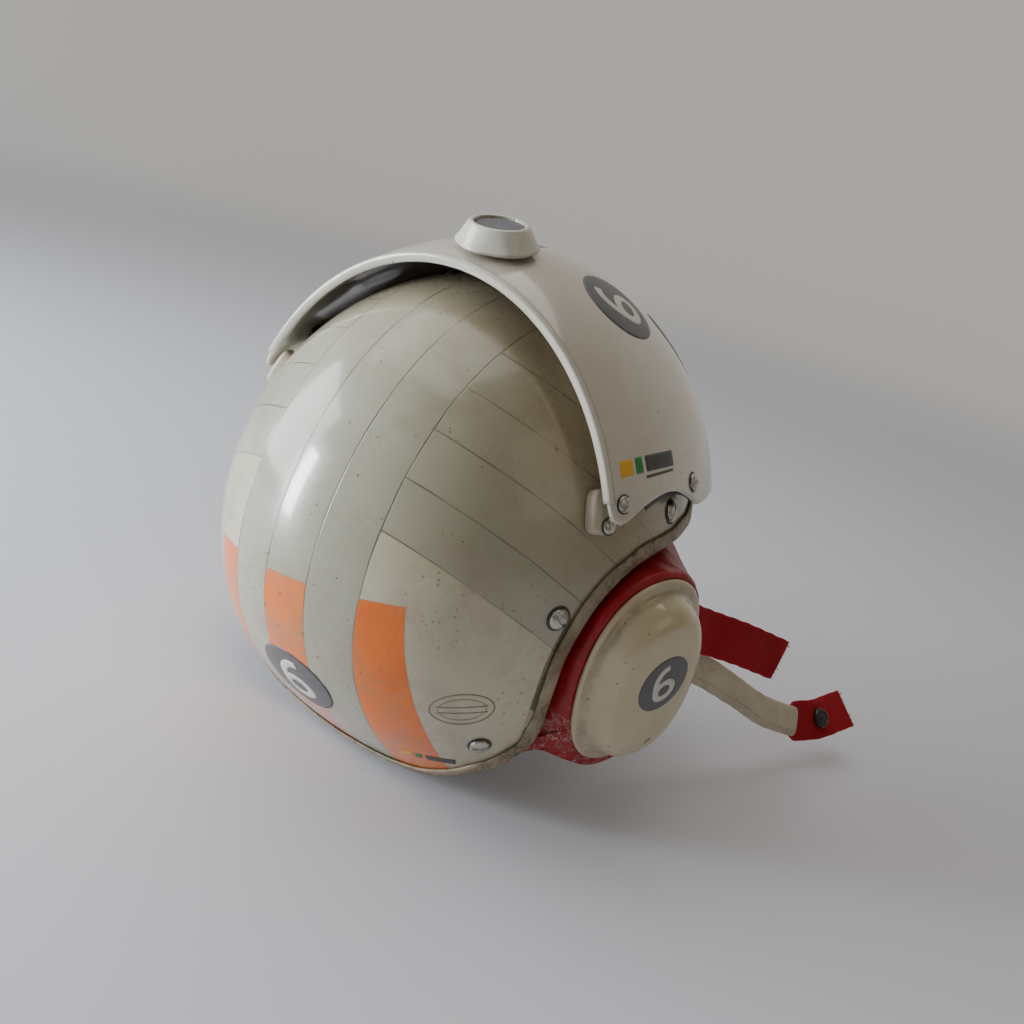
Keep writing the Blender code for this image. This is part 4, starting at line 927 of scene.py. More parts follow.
BR_T = 6.6
for side, s in (("right", 1.0), ("left", -1.0)):
    m = np.array([s, 1.0, 1.0])
    baz, bel = az_el(np.array([-102.0, 52.0, 57.0]))
    t = 2 * np.pi * np.arange(72) / 72
    cu = np.sign(np.cos(t)) * np.abs(np.cos(t)) ** 0.5
    cv = np.sign(np.sin(t)) * np.abs(np.sin(t)) ** 0.5
    rows = []
    for sc, top in ((0.0, BR_T - 0.15), (0.45, BR_T), (0.72, BR_T), (0.86, BR_T - 0.12), (0.94, BR_T - 0.6), (0.985, BR_T - 1.5), (1.0, BR_T - 2.6), (1.0, 0.9), (0.98, 0.5), (0.5, 0.45)):
        d = dir_of(baz + 3.3 * cu * sc, bel + 4.6 * cv * sc)
        lip = 0.0
        rows.append(shell_point(d, top + lip) * m)
    br = loft("bracket_skin_" + side, np.array(rows), MAT_BRACKET, None, True, "fan", "fan")
    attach(br, "helmet")
    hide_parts("bracket_" + side)
    p, n = on_house((-112.6, 50.0, 64.8))
    slotted("housing_rear_head_" + side, p * m, n * m, 3.8, 1.8, "helmet", "housing_rear_screw_" + side, ang=1.1)
    p, n = on_house((-121.0, -12.0, 71.0))
    slotted("housing_front_head_" + side, p * m, n * m, 4.3, 1.9, "helmet", "housing_front_screw_" + side, ang=0.3)
    p, n = on_shell((-103.5, 50.0, 50.5))
    slotted("bracket_head_" + side, (p + n * BR_T) * m, n * m, 3.6, 1.7, "helmet", "bracket_screw_" + side, ang=2.0)
    p, n = on_shell((-110.8, -10.0, 50.5))
    slotted("temple_head_" + side, p * m, n * m, 5.4, 2.2, "helmet", "temple_screw_" + side, ang=0.9)
    p, n = on_shell((-106.0, 68.0, 7.0))
    slotted("ear_snap_head_" + side, p * m, n * m, 5.2, 3.2, "helmet", "ear_snap_" + side, ang=2.4, slot_w=1.3)
    p, n = on_shell((-87.0, 73.5, -72.0))
    slotted("nape_head_" + side, p * m, n * m, 4.9, 2.4, "helmet", "nape_screw_" + side, ang=0.2)

# ------------------------------------------------------------------ flat marks on the surfaces


def decal(name, centre, up, project, shape, rad, material, lift, body, n=(40, 72)):
    """a thin patch laid on a surface. shape gives the outline's scale along its two axes; project(p, off) lays a point
    down.
    """
    c, nrm_ = project(np.asarray(centre, float)[None], 0.0)
    c, nn = c[0], nrm_[0]
    upv = np.asarray(up, float)
    v = unit(upv - (upv @ nn) * nn)
    u = np.cross(v, nn)
    t = np.linspace(0, 2 * np.pi, n[1], endpoint=False)
    rows = []
    for k in np.linspace(0, 1, n[0]):
        P = c + rad * k * (np.cos(t)[:, None] * u * shape[0] + np.sin(t)[:, None] * v * shape[1])
        q, qn = project(P, 0.0)
        rows.append(q + qn * (lift if k < 0.999 else lift * 0.4))
    q, qn = project(rows[-1], 0.0)
    rows.append(q + qn * 0.005)
    ob = loft(name, np.array(rows), material, None, True, "fan", "none")
    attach(ob, body)
    return ob


def stroke(name, pts2, width, centre, up, project, material, lift, body, samples=60, mirror=False, closed=False):
    """a line of constant width drawn on a surface from points in mm in the mark's own plane."""
    c, nrm_ = project(np.asarray(centre, float)[None], 0.0)
    c, nn = c[0], nrm_[0]
    upv = np.asarray(up, float)
    v = unit(upv - (upv @ nn) * nn)
    u = np.cross(v, nn)
    p3 = np.array([(a, b, 0.0) for a, b in pts2])
    cur = resample(catmull(p3, 10, closed), samples, closed)
    if closed:
        tg = unit(np.roll(cur, -1, 0) - np.roll(cur, 1, 0))
    else:
        tg = unit(np.gradient(cur, axis=0))
    nr2 = np.stack([-tg[:, 1], tg[:, 0], np.zeros(len(cur))], 1)
    cols = []
    for k in (-1, -0.6, 0, 0.6, 1):
        q2 = cur + nr2 * width / 2 * k
        P = c + q2[:, :1] * u + q2[:, 1:2] * v
        q, qn = project(P, 0.0)
        cols.append(q + qn * (lift if abs(k) < 1 else lift * 0.6))
    for k in (1, -1):
        q2 = cur + nr2 * width / 2 * k
        P = c + q2[:, :1] * u + q2[:, 1:2] * v
        q, qn = project(P, 0.0)
        cols.append(q + qn * 0.01)
    G = np.array(cols).transpose(1, 0, 2)
    ob = loft(name, G, material, None, True, "none" if closed else "fan", "none" if closed else "fan", close_r=closed)
    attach(ob, body)
    return ob


def six(s):
    """points of a plain round-bowled six, s mm half height."""
    bowl = [(0.0 + 0.52 * s * math.cos(a), -0.42 * s + 0.46 * s * math.sin(a)) for a in np.linspace(0, 2 * np.pi, 20, endpoint=False)]
    tail = [(-0.52 * s, -0.42 * s), (-0.50 * s, 0.05 * s), (-0.34 * s, 0.50 * s), (-0.02 * s, 0.80 * s), (0.36 * s, 0.86 * s)]
    return bowl, tail


def proj_shell(P, off):
    q = shell_point(P)
    return q, shell_normal(q)


def proj_house(P, off):
    q = rev_point(P)
    return q, rev_normal(q, HOUSE_A, HOUSE_B)


def roundel(tag, centre, up, project, rad, body, digit=True):
    decal("roundel_" + tag, centre, up, project, (1, 1), rad, MAT_DISC, 0.16, body, (14, 84))
    if digit:
        bowl, tail = six(rad * 0.66)
        stroke("digit_bowl_" + tag, bowl, rad * 0.22, centre, up, project, MAT_DIGIT, 0.30, body, 60, closed=True)
        stroke("digit_tail_" + tag, tail, rad * 0.22, centre, up, project, MAT_DIGIT, 0.31, body, 30)


roundel("nape", (0.5, 112.0, -65.0), (0.10, 0.45, 0.9), proj_shell, 22.5, "helmet")
roundel("housing_right", (-55.0, -3.5, 140.0), (0.35, 0.75, 0.4), proj_house, 22.0, "helmet")
roundel("housing_left", (55.0, -3.5, 140.0), (-0.35, 0.75, 0.4), proj_house, 22.0, "helmet")
# dark band end further round the front of the housing
decal("front_mark_right", (-65.0, -57.0, 122.0), (0.3, 0.6, 0.7), proj_house, (0.45, 1.0), 24.0, MAT_DISC, 0.16, "helmet", (12, 60))
decal("front_mark_left", (65.0, -57.0, 122.0), (-0.3, 0.6, 0.7), proj_house, (0.45, 1.0), 24.0, MAT_DISC, 0.16, "helmet", (12, 60))

# plain maker's-style label with coloured bars instead of a mark
for k, (mt, a0, a1) in enumerate(((MAT_YEL, -11, -4), (MAT_GRN, -2.5, 1.5), (MAT_DARK, 3.5, 22))):
    stroke("label_bar_%d" % k, [(1.25 * a0, 0.15 * a0), (0.625 * (a0 + a1), 0.075 * (a0 + a1)), (1.25 * a1, 0.15 * a1)], 7.5, (-107.5, 36.0, 80.0), (0, 0, 1), proj_house, mt, 0.15, "helmet", 16)
stroke("label_line", [(4.4, -5.6), (15, -4.1), (27, -2.4)], 1.3, (-107.5, 36.0, 80.0), (0, 0, 1), proj_house, MAT_DARK, 0.15, "helmet", 16)
# plain oval ink stamp: two rings and a blank bar
cst = (-81.0, 90.0, -47.2)
for k, (ra, rb, wd) in enumerate(((15.5, 10.5, 0.9), (11.6, 7.2, 0.5))):
    stroke("stamp_ring_%d" % k, [(ra * math.cos(a), rb * math.sin(a)) for a in np.linspace(0, 2 * np.pi, 28, endpoint=False)], wd, cst, (0.1, 0.2, 1), proj_shell, MAT_INK, 0.06, "helmet", 96, closed=True)
stroke("stamp_bar_a", [(-12.5, 1.8), (0, 1.8), (12.5, 1.8)], 0.8, cst, (0.1, 0.2, 1), proj_shell, MAT_INK, 0.06, "helmet", 24)
stroke("stamp_bar_b", [(-12.5, -2.2), (0, -2.2), (12.5, -2.2)], 0.8, cst, (0.1, 0.2, 1), proj_shell, MAT_INK, 0.06, "helmet", 24)
# short nape label
for k, (mt, a0, a1) in enumerate(((MAT_YEL, -9, -5), (MAT_GRN, -4, -1.5), (MAT_DARK, 0, 12))):
    stroke("nape_bar_%d" % k, [(1.3 * a0, 0), (0.65 * (a0 + a1), 0), (1.3 * a1, 0)], 5.0, (-60.0, 76.0, -90.0), (0, 0.3, 1), proj_shell, mt, 0.15, "helmet", 12)

# ------------------------------------------------------------------ ear assemblies
CUP_HALF_U, CUP_HALF_V, CUP_H = 38.9, 54.5, 19.5
CUP_CENTRE = np.array([-126.2, 10.8, -26.7])
cn = unit(np.array([-0.956, 0.280, -0.090]))
cu0 = unit(np.array([0, 1.0, 0]) - cn * cn[1])
cv0 = np.cross(cn, cu0)
if cv0[2] < 0:
    cv0 = -cv0
la = math.radians(10.0)
CU = math.cos(la) * cu0 - math.sin(la) * cv0
CV = math.sin(la) * cu0 + math.cos(la) * cv0
if CV[2] < 0:
    CV = -CV


def cup_pt(su, sv, w):
    su, sv, w = np.broadcast_arrays(np.asarray(su, float), np.asarray(sv, float), np.asarray(w, float))
    return CUP_CENTRE + su[..., None] * CU + sv[..., None] * CV + w[..., None] * cn


def oval(t, p=2.25):
    e = 2 / p
    return np.sign(np.cos(t)) * np.abs(np.cos(t)) ** e, np.sign(np.sin(t)) * np.abs(np.sin(t)) ** e


def cup_loft(name, prof, segs, material, m, attrs=None, ring=False, p=2.25, wave=None):
    t = np.linspace(0, 2 * np.pi, segs, endpoint=False)
    cu, sv = oval(t, p)
    rows = []
    for i, (a, b, w) in enumerate(prof):
        ww = w + (wave(t, i) if wave is not None else 0)
        rows.append(cup_pt(a * cu, b * sv, ww) * m)
    if ring:
        return loft(name, np.array(rows), material, attrs, True, close_r=True)
    return loft(name, np.array(rows), material, attrs, True, "fan", "fan")


def cup_profile():
    U, V = CUP_HALF_U, CUP_HALF_V
    outer = [(0.02, 0.02, CUP_H), (U * 0.25, V * 0.28, 19.4), (U * 0.45, V * 0.5, 19.05), (U * 0.58, V * 0.64, 18.5), (U * 0.66, V * 0.72, 17.6), (U * 0.72, V * 0.77, 16.1), (U * 0.765, V * 0.812, 13.8),
             (U * 0.795, V * 0.838, 10.5), (U * 0.815, V * 0.856, 7.2), (U * 0.832, V * 0.870, 5.2), (U * 0.850, V * 0.884, 4.2), (U * 0.875, V * 0.902, 3.5), (U * 0.91, V * 0.93, 3.15), (U - 1.6, V - 1.6, 3.0), (U - 0.7, V - 0.7, 2.75),
             (U - 0.15, V - 0.15, 2.2), (U, V, 1.4), (U - 0.15, V - 0.15, 0.5), (U - 0.6, V - 0.6, 0.05), (U * 0.86, V * 0.88, 0.0), (U * 0.72, V * 0.775, 0.0), (U * 0.70, V * 0.755, 4.0), (U * 0.66, V * 0.72, 10.0), (U * 0.60, V * 0.66, 14.2), (U * 0.4, V * 0.45, 16.4), (0.02, 0.02, 17.0)]
    return outer


for side, s in (("right", 1.0), ("left", -1.0)):
    m = np.array([s, 1.0, 1.0])
    body = "cup_" + side
    U, V = CUP_HALF_U, CUP_HALF_V
    prof = cup_profile()
    segs = 120
    # grime and painted shade along the foot of the dome, where it meets the flange
    cre = np.array([[math.exp(-(((p[2] - 4.0) / 1.8) ** 2)) * (1 if 3 < i < 14 else 0) for _ in range(segs)] for i, p in enumerate(prof)])
    cup = cup_loft("cup_skin_" + side, prof, segs, MAT_CUP, m, {"crease": cre})
    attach(cup, body)
    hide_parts("ear_cup_shell_" + side)

    def proj_cup(P, off, m=m):
        """onto the crowned outer face."""
        q = P * m
        r = q - CUP_CENTRE
        a, b = r @ CU, r @ CV
        k = np.hypot(a / (U * 0.62), b / (V * 0.68))
        w = CUP_H - 0.85 * k**2
        out = CUP_CENTRE + a[..., None] * CU + b[..., None] * CV + w[..., None] * cn
        nn = unit(cn + (CU * (a / (U * 0.62) ** 2)[..., None] + CV * (b / (V * 0.68) ** 2)[..., None]) * 1.7)
        return out * m, nn * m

    cdir = cup_pt(-0.5, 5.5, CUP_H) * m
    upv = (CV * 0.80 + CU * 0.25) * m
    roundel("cup_" + side, cdir, upv, proj_cup, 16.2, body)
    # small moulded stud mark low on the cup
    q = cup_pt(-4.0, -34.0, 17.2) * m
    qq, qn = proj_cup(q[None], 0)
    tiny = lathe("cup_pip_" + side, round_profile([(0, -0.2), (2.0, -0.2), (2.0, 0.35), (1.2, 0.5), (0, 0.5)], 0.15, 3), qq[0], qn[0], 28, MAT_CUP)
    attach(tiny, body)

    # seal: a crowned cushion ring with a slight ripple
    prof = []
    for t_ in np.linspace(0, 2 * np.pi, 28, endpoint=False):
        cr, sr = math.cos(t_), math.sin(t_)
        mu, mv = U * 0.715, V * 0.735
        hu = U * 0.185
        hw = 7.9
        e = 0.75
        prof.append((mu + hu * math.copysign(abs(cr) ** e, cr), mv + hu * math.copysign(abs(cr) ** e, cr), -14.1 + hw * math.copysign(abs(sr) ** e, sr)))
    seal = cup_loft("seal_cushion_" + side, prof, 120, MAT_SEAL, m, ring=True, wave=lambda t, i: 0.18 * np.sin(17 * t + i * 0.5))
    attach(seal, body)
    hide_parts("ear_seal_" + side)
    # earphone
    ph_prof = round_profile([(0, 13.0), (17.5, 13.0), (18.5, 12.0), (18.5, 3.2), (17.0, 2.0), (13.0, 2.0), (12.6, 2.5), (9.5, 2.5), (9.1, 2.0), (5.5, 2.0), (5.1, 2.5), (0, 2.5)], 0.4, 3)
    phn = lathe("earphone_skin_" + side, ph_prof, CUP_CENTRE * m, cn * m, 64, MAT_BLACK)
    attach(phn, body)
    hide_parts("earphone_" + side)

    # ---- flap, refined from the CAD's own stations
    kc, kf = 8, 17
    outer0, nrm0, tang0, into0 = C_P, C_NR, C_TG, C_IN
    mid, ang = [], []
    for k in range(kc - 2, kf + 1):
        q, n_, i_ = outer0[k], nrm0[k], into0[k]
        tuck = min(1.0, max(0.5, (k - (kc - 2)) / 2.0))
        p0 = q + i_ * 6 * tuck - n_ * 8.3
        p1 = q + i_ * 0.4 - n_ * 8.3
        p2 = q - i_ * 6.6 - n_ * 7.4
        if k == kf:
            p0, p1, p2 = (q - i_ * j - n_ * 8.3 for j in (7.2, 8.4, 10.0))
        e = q - CUP_CENTRE
        ang.append(math.atan2((e @ CV) / V, (e @ CU) / U))
        mid.append([p0, p1, p2])
    ang = list(np.unwrap(ang))
    lo_a, hi_a = ang[0], ang[-1]
    free = 2 * math.pi - abs(hi_a - lo_a)
    nf = 13
    sign = 1.0 if hi_a > lo_a else -1.0
    last_mid, first_mid = mid[-1], mid[0]
    for j in range(nf):
        a = hi_a + sign * free * (j + 1) / (nf + 1)
        f = (j + 1) / (nf + 1)
        w1, w2 = max(0.0, 1 - f / 0.22), max(0.0, 1 - (1 - f) / 0.22)
        tab = 1.0 + 0.10 * math.exp(-(((math.degrees(a) % 360 - 228.0) / 26.0) ** 2))
        cols = [cup_pt(U * sc * (1 + (tab - 1) * g) * math.cos(a), V * sc * (1 + (tab - 1) * g) * math.sin(a), w) for sc, w, g in ((1.17, -4.0, 1.0), (1.14, -3.6, 0.8), (1.09, -2.8, 0.4))]
        for i in range(3):
            cols[i] = cols[i] * (1 - w1 - w2) + w1 * (last_mid[i] + (cols[i] - last_mid[i]) * min(1, f / 0.22)) + w2 * (first_mid[i] + (cols[i] - first_mid[i]) * min(1, (1 - f) / 0.22))
        mid.append(cols)
        ang.append(a)
    full = []
    for col, a in zip(mid, ang):
        ce, se = oval(np.array(a))
        full.append(list(col) + [cup_pt(U * sc * ce, V * sc * se, w) for sc, w in ((1.03, -2.2), (0.97, -1.9), (0.86, -1.9), (0.76, -1.9))])
    Gm = np.array(full).transpose(1, 0, 2)
    Gf = refine(Gm, 6, 7)
    gr = np.gradient(Gf, axis=0)
    gc = (np.roll(Gf, -1, 1) - np.roll(Gf, 1, 1)) / 2
    fn = unit(np.cross(gr, gc))
    if np.mean(fn @ cn) < 0:
        fn = -fn
    Rf, Cf = Gf.shape[:2]
    # wrinkles that run from the shell edge to the cup, strongest between the two
    rpos = np.linspace(0, 6, Rf)[:, None]
    belt = np.exp(-(((rpos - 2.6) / 0.9) ** 2))
    th = np.linspace(0, 2 * np.pi, Cf, endpoint=False)[None]
    wr = 0.55 * np.sin(13 * th + 0.6 * rpos) + 0.35 * np.sin(29 * th + 1.1 * rpos + 1) + 0.2 * np.sin(53 * th)
    Z = (Gf[..., 2] + 27.0) / 54.0
    wr = wr * belt * (0.45 + 0.75 * np.clip(-Z, 0, 1))
    th2 = 1.5 * np.clip(np.minimum(rpos / 0.35, 1), 0.55, 1)
    Go = Gf + fn * (th2 + wr)[..., None]
    Gi = Gf - fn * (th2 - wr * 0.6)[..., None]
    G = np.concatenate([Go, Gi[::-1]]) * m
    lowat = np.concatenate([np.clip(-Z * 1.4 - 0.2, 0, 1), np.clip(-Z * 1.4 - 0.2, 0, 1)[::-1]])
    flap = loft("flap_skin_" + side, G, MAT_FLAP, {"low": lowat}, True, close_r=True)
    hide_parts("ear_flap_" + side)
    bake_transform(flap)

# ------------------------------------------------------------------ pads inside
LINER_OUT, LINER_T = -SHELL_T - 2.6, 11.0
PAD = LINER_OUT - LINER_T - 2.4


def pad(name, node, az0, el0, daz, de, thick, power):
    t = np.linspace(0, 2 * np.pi, 96, endpoint=False)
    cu = np.sign(np.cos(t)) * np.abs(np.cos(t)) ** (2 / power)
    cv = np.sign(np.sin(t)) * np.abs(np.sin(t)) ** (2 / power)
    rows = []
    back = [(0.0, 0.0), (0.5, 0.0), (0.9, -0.1), (0.97, -0.5)]
    for sc, o in back:
        rows.append(shell_point(dir_of(az0 + daz * cu * sc, el0 + de * cv * sc), PAD + o))
    n = 14
    for j in range(n + 1):
        k = 1 - j / n
        crown = thick * (1 - k**5) ** 0.55 if k < 1 else thick * 0.16
        quilt = 0.45 * np.cos(t * 0 + 9 * k)
        rows.append(shell_point(dir_of(az0 + daz * cu * max(k, 0.001), el0 + de * cv * max(k, 0.001)), PAD - max(crown * 0.98, thick * 0.16)))
    ob = loft(name, np.array(rows), MAT_PAD, None, True, "fan", "fan")
    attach(ob, "helmet")
    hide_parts(node)


pad("pad_brow", "brow_pad", 180, 42, 52, 9, 9, 4.0)
pad("pad_nape", "nape_pad", 0, -25, 36, 17, 11, 3.5)
pad("pad_temple_right", "temple_pad_right", 100, 41, 20, 9, 9, 3.5)
pad("pad_temple_left", "temple_pad_left", 260, 41, 20, 9, 9, 3.5)
pad("pad_rear", "rear_pad", 0, 26, 46, 15, 9, 3.5)
t = np.linspace(0, 360, 96, endpoint=False)
rows = [shell_point(dir_of(t, np.full(96, e)), PAD - o) for e, o in ((89.99, 0.0), (76, 0.0), (64, 0.2), (62.4, 0.8))]
for j in range(15):
    k = 1 - j / 14
    crown = 9 * (1 - k**5) ** 0.55 if k < 1 else 1.5
    star = 1 - 0.10 * np.abs(np.cos(np.radians(t * 3))) ** 8 * math.sin(math.pi * min(1, k * 1.05))
    P = dir_of(t, np.full(96, 90 - 28 * max(k, 0.0005)))
    off = PAD - np.maximum(crown * 0.98, 1.5) * star
    q = shell_point(P)
    rows.append(q + shell_normal(q) * off[:, None])
ob = loft("pad_crown", np.array(rows), MAT_PAD, None, True, "fan", "fan")
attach(ob, "helmet")
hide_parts("crown_pad")

# ------------------------------------------------------------------ straps
WEB_W, WEB_T = 25.0, 2.0


def strap_frame(path, wdirs, n):
    p = smooth_curve(path, n)
    s = np.linspace(0, 1, n + 1)
    wd = np.stack([np.interp(s, np.linspace(0, 1, len(wdirs)), np.array(wdirs)[:, i]) for i in range(3)], 1)
    tg = unit(np.gradient(p, axis=0))
    wd = unit(wd - np.sum(wd * tg, 1)[:, None] * tg)
    return p, tg, wd, np.cross(tg, wd)


def strap(name, node, path, wdirs, width, thick, material, m, body, n=90, ripple=0.0, tube=False, fray=False, cols=40, gather=0.0):
    p, tg, wd, nn = strap_frame(path, wdirs, n)
    length = np.concatenate([[0], np.cumsum(np.linalg.norm(np.diff(p, axis=0), axis=1))])
    t = np.linspace(0, 2 * np.pi, cols, endpoint=False)
    pw = 2 / 7.0 if not tube else 2 / 3.0
    a = np.sign(np.cos(t)) * np.abs(np.cos(t)) ** pw
    b = np.sign(np.sin(t)) * np.abs(np.sin(t)) ** pw
    rows, al, ac = [], [], []
    for k in range(len(p)):
        L = length[k]
        dx = ripple * (math.sin(L * 0.11) * 0.6 + math.sin(L * 0.23 + 1) * 0.3 + math.sin(L * 0.57 + 2) * 0.1)
        w_ = width * (1 - (0.03 * ripple) * math.sin(L * 0.5 + 2))
        g_ = min(1.0, L / 11.0)
        w_ *= 1 - gather * (1 - g_ * g_ * (3 - 2 * g_))
        end = min(1.0, (len(p) - 1 - k) / 2.0 + 0.5)
        start = min(1.0, k / 2.0 + 0.5)
        fold = 1.1 * gather * (1 - g_) * np.cos(a * 9.0)
        rows.append(p[k] + (a * w_ / 2)[:, None] * wd[k] + (b * thick / 2 * min(end, start) + dx * (1 - (a * 0.9) ** 2) + fold)[:, None] * nn[k])
        al.append(np.full(cols, L))
        ac.append(a * width / 2)
    ob = loft(name, np.array(rows) * m, material, {"along": al, "across": ac}, True, "fan", "fan")
    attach(ob, body)
    if node:
        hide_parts(node)
    if fray:
        yarns(name + "_fray", p[-1], tg[-1], wd[-1], nn[-1], width, m, body)
    return ob


def yarns(name, p, tg, wd, nn, width, m, body):
    """loose cut yarns at a strap's end, in one mesh."""
    r = np.random.default_rng(11)
    rows_all, faces = [], []
    base = 0
    for i in range(34):
        x = (r.random() - 0.5) * width * 0.98
        L = 1.2 + 3.2 * r.random()
        bend = (r.random(2) - 0.5) * 1.8
        k = 5
        for j in range(k):
            f = j / (k - 1)
            c = p + tg * (L * f - 0.6) + wd * (x + bend[0] * f * f) + nn * ((r.random() - 0.5) * 0.1 + bend[1] * f * f)
            rad = 0.17 * (1 - 0.7 * f)
            for q in range(4):
                an = q * math.pi / 2
                rows_all.append(c + rad * (math.cos(an) * wd + math.sin(an) * nn))
        for j in range(k - 1):
            for q in range(4):
                d = (q + 1) % 4
                faces.append((base + j * 4 + q, base + j * 4 + d, base + (j + 1) * 4 + d, base + (j + 1) * 4 + q))
        faces.append((base + 3, base + 2, base + 1, base))
        e = base + (k - 1) * 4
        faces.append((e, e + 1, e + 2, e + 3))
        base += k * 4
    V_ = np.array(rows_all) * m
    ob = add_mesh(name, V_, faces, MAT_RED, {"along": np.zeros(len(V_)), "across": np.zeros(len(V_))})
    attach(ob, body)


def stitches(name, path, wdirs, across, height, m, body, n=90, step=2.6, length=1.7, s0=0.02, s1=0.98):
    """a row of thread stitches that lie on a strap's face."""
    p, tg, wd, nn = strap_frame(path, wdirs, n)
    s = np.concatenate([[0], np.cumsum(np.linalg.norm(np.diff(p, axis=0), axis=1))])
    V_, F_ = [], []
    at_ = s0 * s[-1]
    base = 0
    while at_ < s1 * s[-1]:
        for j in range(4):
            q = at_ + length * j / 3
            c = np.array([np.interp(q, s, p[:, i]) for i in range(3)])
            w = unit(np.array([np.interp(q, s, wd[:, i]) for i in range(3)]))
            nnn = unit(np.array([np.interp(q, s, nn[:, i]) for i in range(3)]))
            lift = height + 0.14 * math.sin(math.pi * j / 3)
            for a_, b_ in ((-0.22, 0), (0, 0.2), (0.22, 0), (0, -0.2)):
                V_.append(c + w * (across + a_) + nnn * (lift + b_))
        for j in range(3):
            for q_ in range(4):
                d = (q_ + 1) % 4
                F_.append((base + j * 4 + q_, base + j * 4 + d, base + (j + 1) * 4 + d, base + (j + 1) * 4 + q_))
        F_.append((base + 3, base + 2, base + 1, base))
        F_.append((base + 12, base + 13, base + 14, base + 15))
        base += 16
        at_ += step
    ob = add_mesh(name, np.array(V_) * m, F_, MAT_THREAD)
    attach(ob, body)


W_DOWN = (0.05, 0.40, -0.92)
for side, s in (("right", 1.0), ("left", -1.0)):
    m = np.array([s, 1.0, 1.0])
    chin = [(-123.5, -38.0, -37.5), (-133.5, -61.5, -44.0), (-150.0, -88.0, -58.5), (-163.0, -119.0, -76.5), (-176.0, -154.0, -90.5)]
    cw = [(-0.35, 0.40, -0.85), (-0.50, 0.36, -0.78), (-0.35, 0.38, -0.85)]
    strap("chin_hide_" + side, "chin_sleeve_" + side, chin, cw, 18.5, 7.8, MAT_HIDE, m, "chin_strap_" + side, 120, 0.35, True)
    for sg in (1, -1):
        stitches("chin_stitch_%s_%s" % (side, "ab"[sg > 0]), chin, cw, 6.6, sg * 3.55, m, "chin_strap_" + side)
    end = [(-177.6, -159.5, -91.0), (-184.5, -176.0, -92.0), (-189.5, -195.0, -91.5), (-193.5, -210.0, -91.0)]
    ew = [(-0.35, 0.38, -0.85), (-0.70, 0.0, -0.70), (-0.78, -0.10, -0.60)]
    strap("chin_tail_" + side, "chin_web_" + side, [(-173.2, -146.5, -89.6)] + end, [ew[0]] + ew, WEB_W, WEB_T + 0.4, MAT_RED, m, "chin_strap_" + side, 80, 0.25, fray=True, gather=0.42)
    wide = [(-129.0, -33.5, -11.5), (-134.8, -57.0, -20.0), (-147.0, -85.5, -29.5), (-162.0, -122.0, -43.5)]
    strap("tie_web_" + side, "side_strap_" + side, wide, [W_DOWN, W_DOWN], WEB_W, WEB_T, MAT_RED, m, "tie_strap_" + side, 110, 0.45, fray=True)
    # snap
    sp = smooth_curve(end, 8)
    tw = unit(sp[4] - sp[2])
    wv = unit(np.array([-0.66, 0.04, -0.74]))
    wv = unit(wv - (wv @ tw) * tw)
    sn = np.cross(tw, wv)
    if sn @ np.array([-0.45, 0.62, 0.64]) < 0:
        sn = -sn
    top = WEB_T / 2 + 1.2
    prof = round_profile([(0, top - 1.2), (5.4, top - 1.2), (6.4, top - 0.2), (6.4, top + 1.2), (5.6, top + 2.2), (4.3, top + 2.5), (3.9, top + 1.9), (2.6, top + 1.9), (2.2, top + 2.7), (0, top + 2.8)], 0.35, 4)
    snap = lathe("snap_skin_" + side, prof, sp[3] * m, sn * m, 56, MAT_SNAP)
    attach(snap, "chin_strap_" + side)
    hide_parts("chin_snap_" + side)

# ------------------------------------------------------------------ stage
C_RIGHT = np.array([-0.80069872, -0.54692912, 0.24443834])
C_DOWN = np.array([-0.3828888, 0.15340768, -0.91096776])
C_FWD = np.array([0.46073608, -0.82300342, -0.33224637])
C_POS = np.array([-296.1312, 477.6643, 210.1578]) + C_RIGHT * 0.3

FLOOR_Z = CAD_BOX[0][2] - 0.004
me = bpy.data.meshes.new("floor")
n = 64
t = np.linspace(0, 2 * np.pi, n, endpoint=False)
verts = [(0, 0, FLOOR_Z)] + [(4 * math.cos(a), 4 * math.sin(a), FLOOR_Z) for a in t]
me.from_pydata(verts, [], [(0, i + 1, (i + 1) % n + 1) for i in range(n)])
floor = bpy.data.objects.new("floor", me)
bpy.context.scene.collection.objects.link(floor)
fm = bpy.data.materials.new("floor_pale")
fm.use_nodes = True
nt_ = fm.node_tree
pb = nt_.nodes["Principled BSDF"]
pb.inputs["Base Color"].default_value = (0.70, 0.71, 0.76, 1)
pb.inputs["Roughness"].default_value = 0.75
pb.inputs["Specular IOR Level"].default_value = 0.2
tc = nt_.nodes.new("ShaderNodeTexCoord")
ln_ = nt_.nodes.new("ShaderNodeVectorMath")
ln_.operation = "LENGTH"
nt_.links.new(tc.outputs["Object"], ln_.inputs[0])
mr = nt_.nodes.new("ShaderNodeMapRange")
mr.interpolation_type = "SMOOTHSTEP"
mr.inputs["From Min"].default_value = 0.5
mr.inputs["From Max"].default_value = 2.6
nt_.links.new(ln_.outputs["Value"], mr.inputs["Value"])
tr = nt_.nodes.new("ShaderNodeBsdfTransparent")
mx = nt_.nodes.new("ShaderNodeMixShader")
nt_.links.new(mr.outputs[0], mx.inputs[0])
nt_.links.new(pb.outputs[0], mx.inputs[1])
nt_.links.new(tr.outputs[0], mx.inputs[2])
nt_.links.new(mx.outputs[0], nt_.nodes["Material Output"].inputs["Surface"])
me.materials.append(fm)

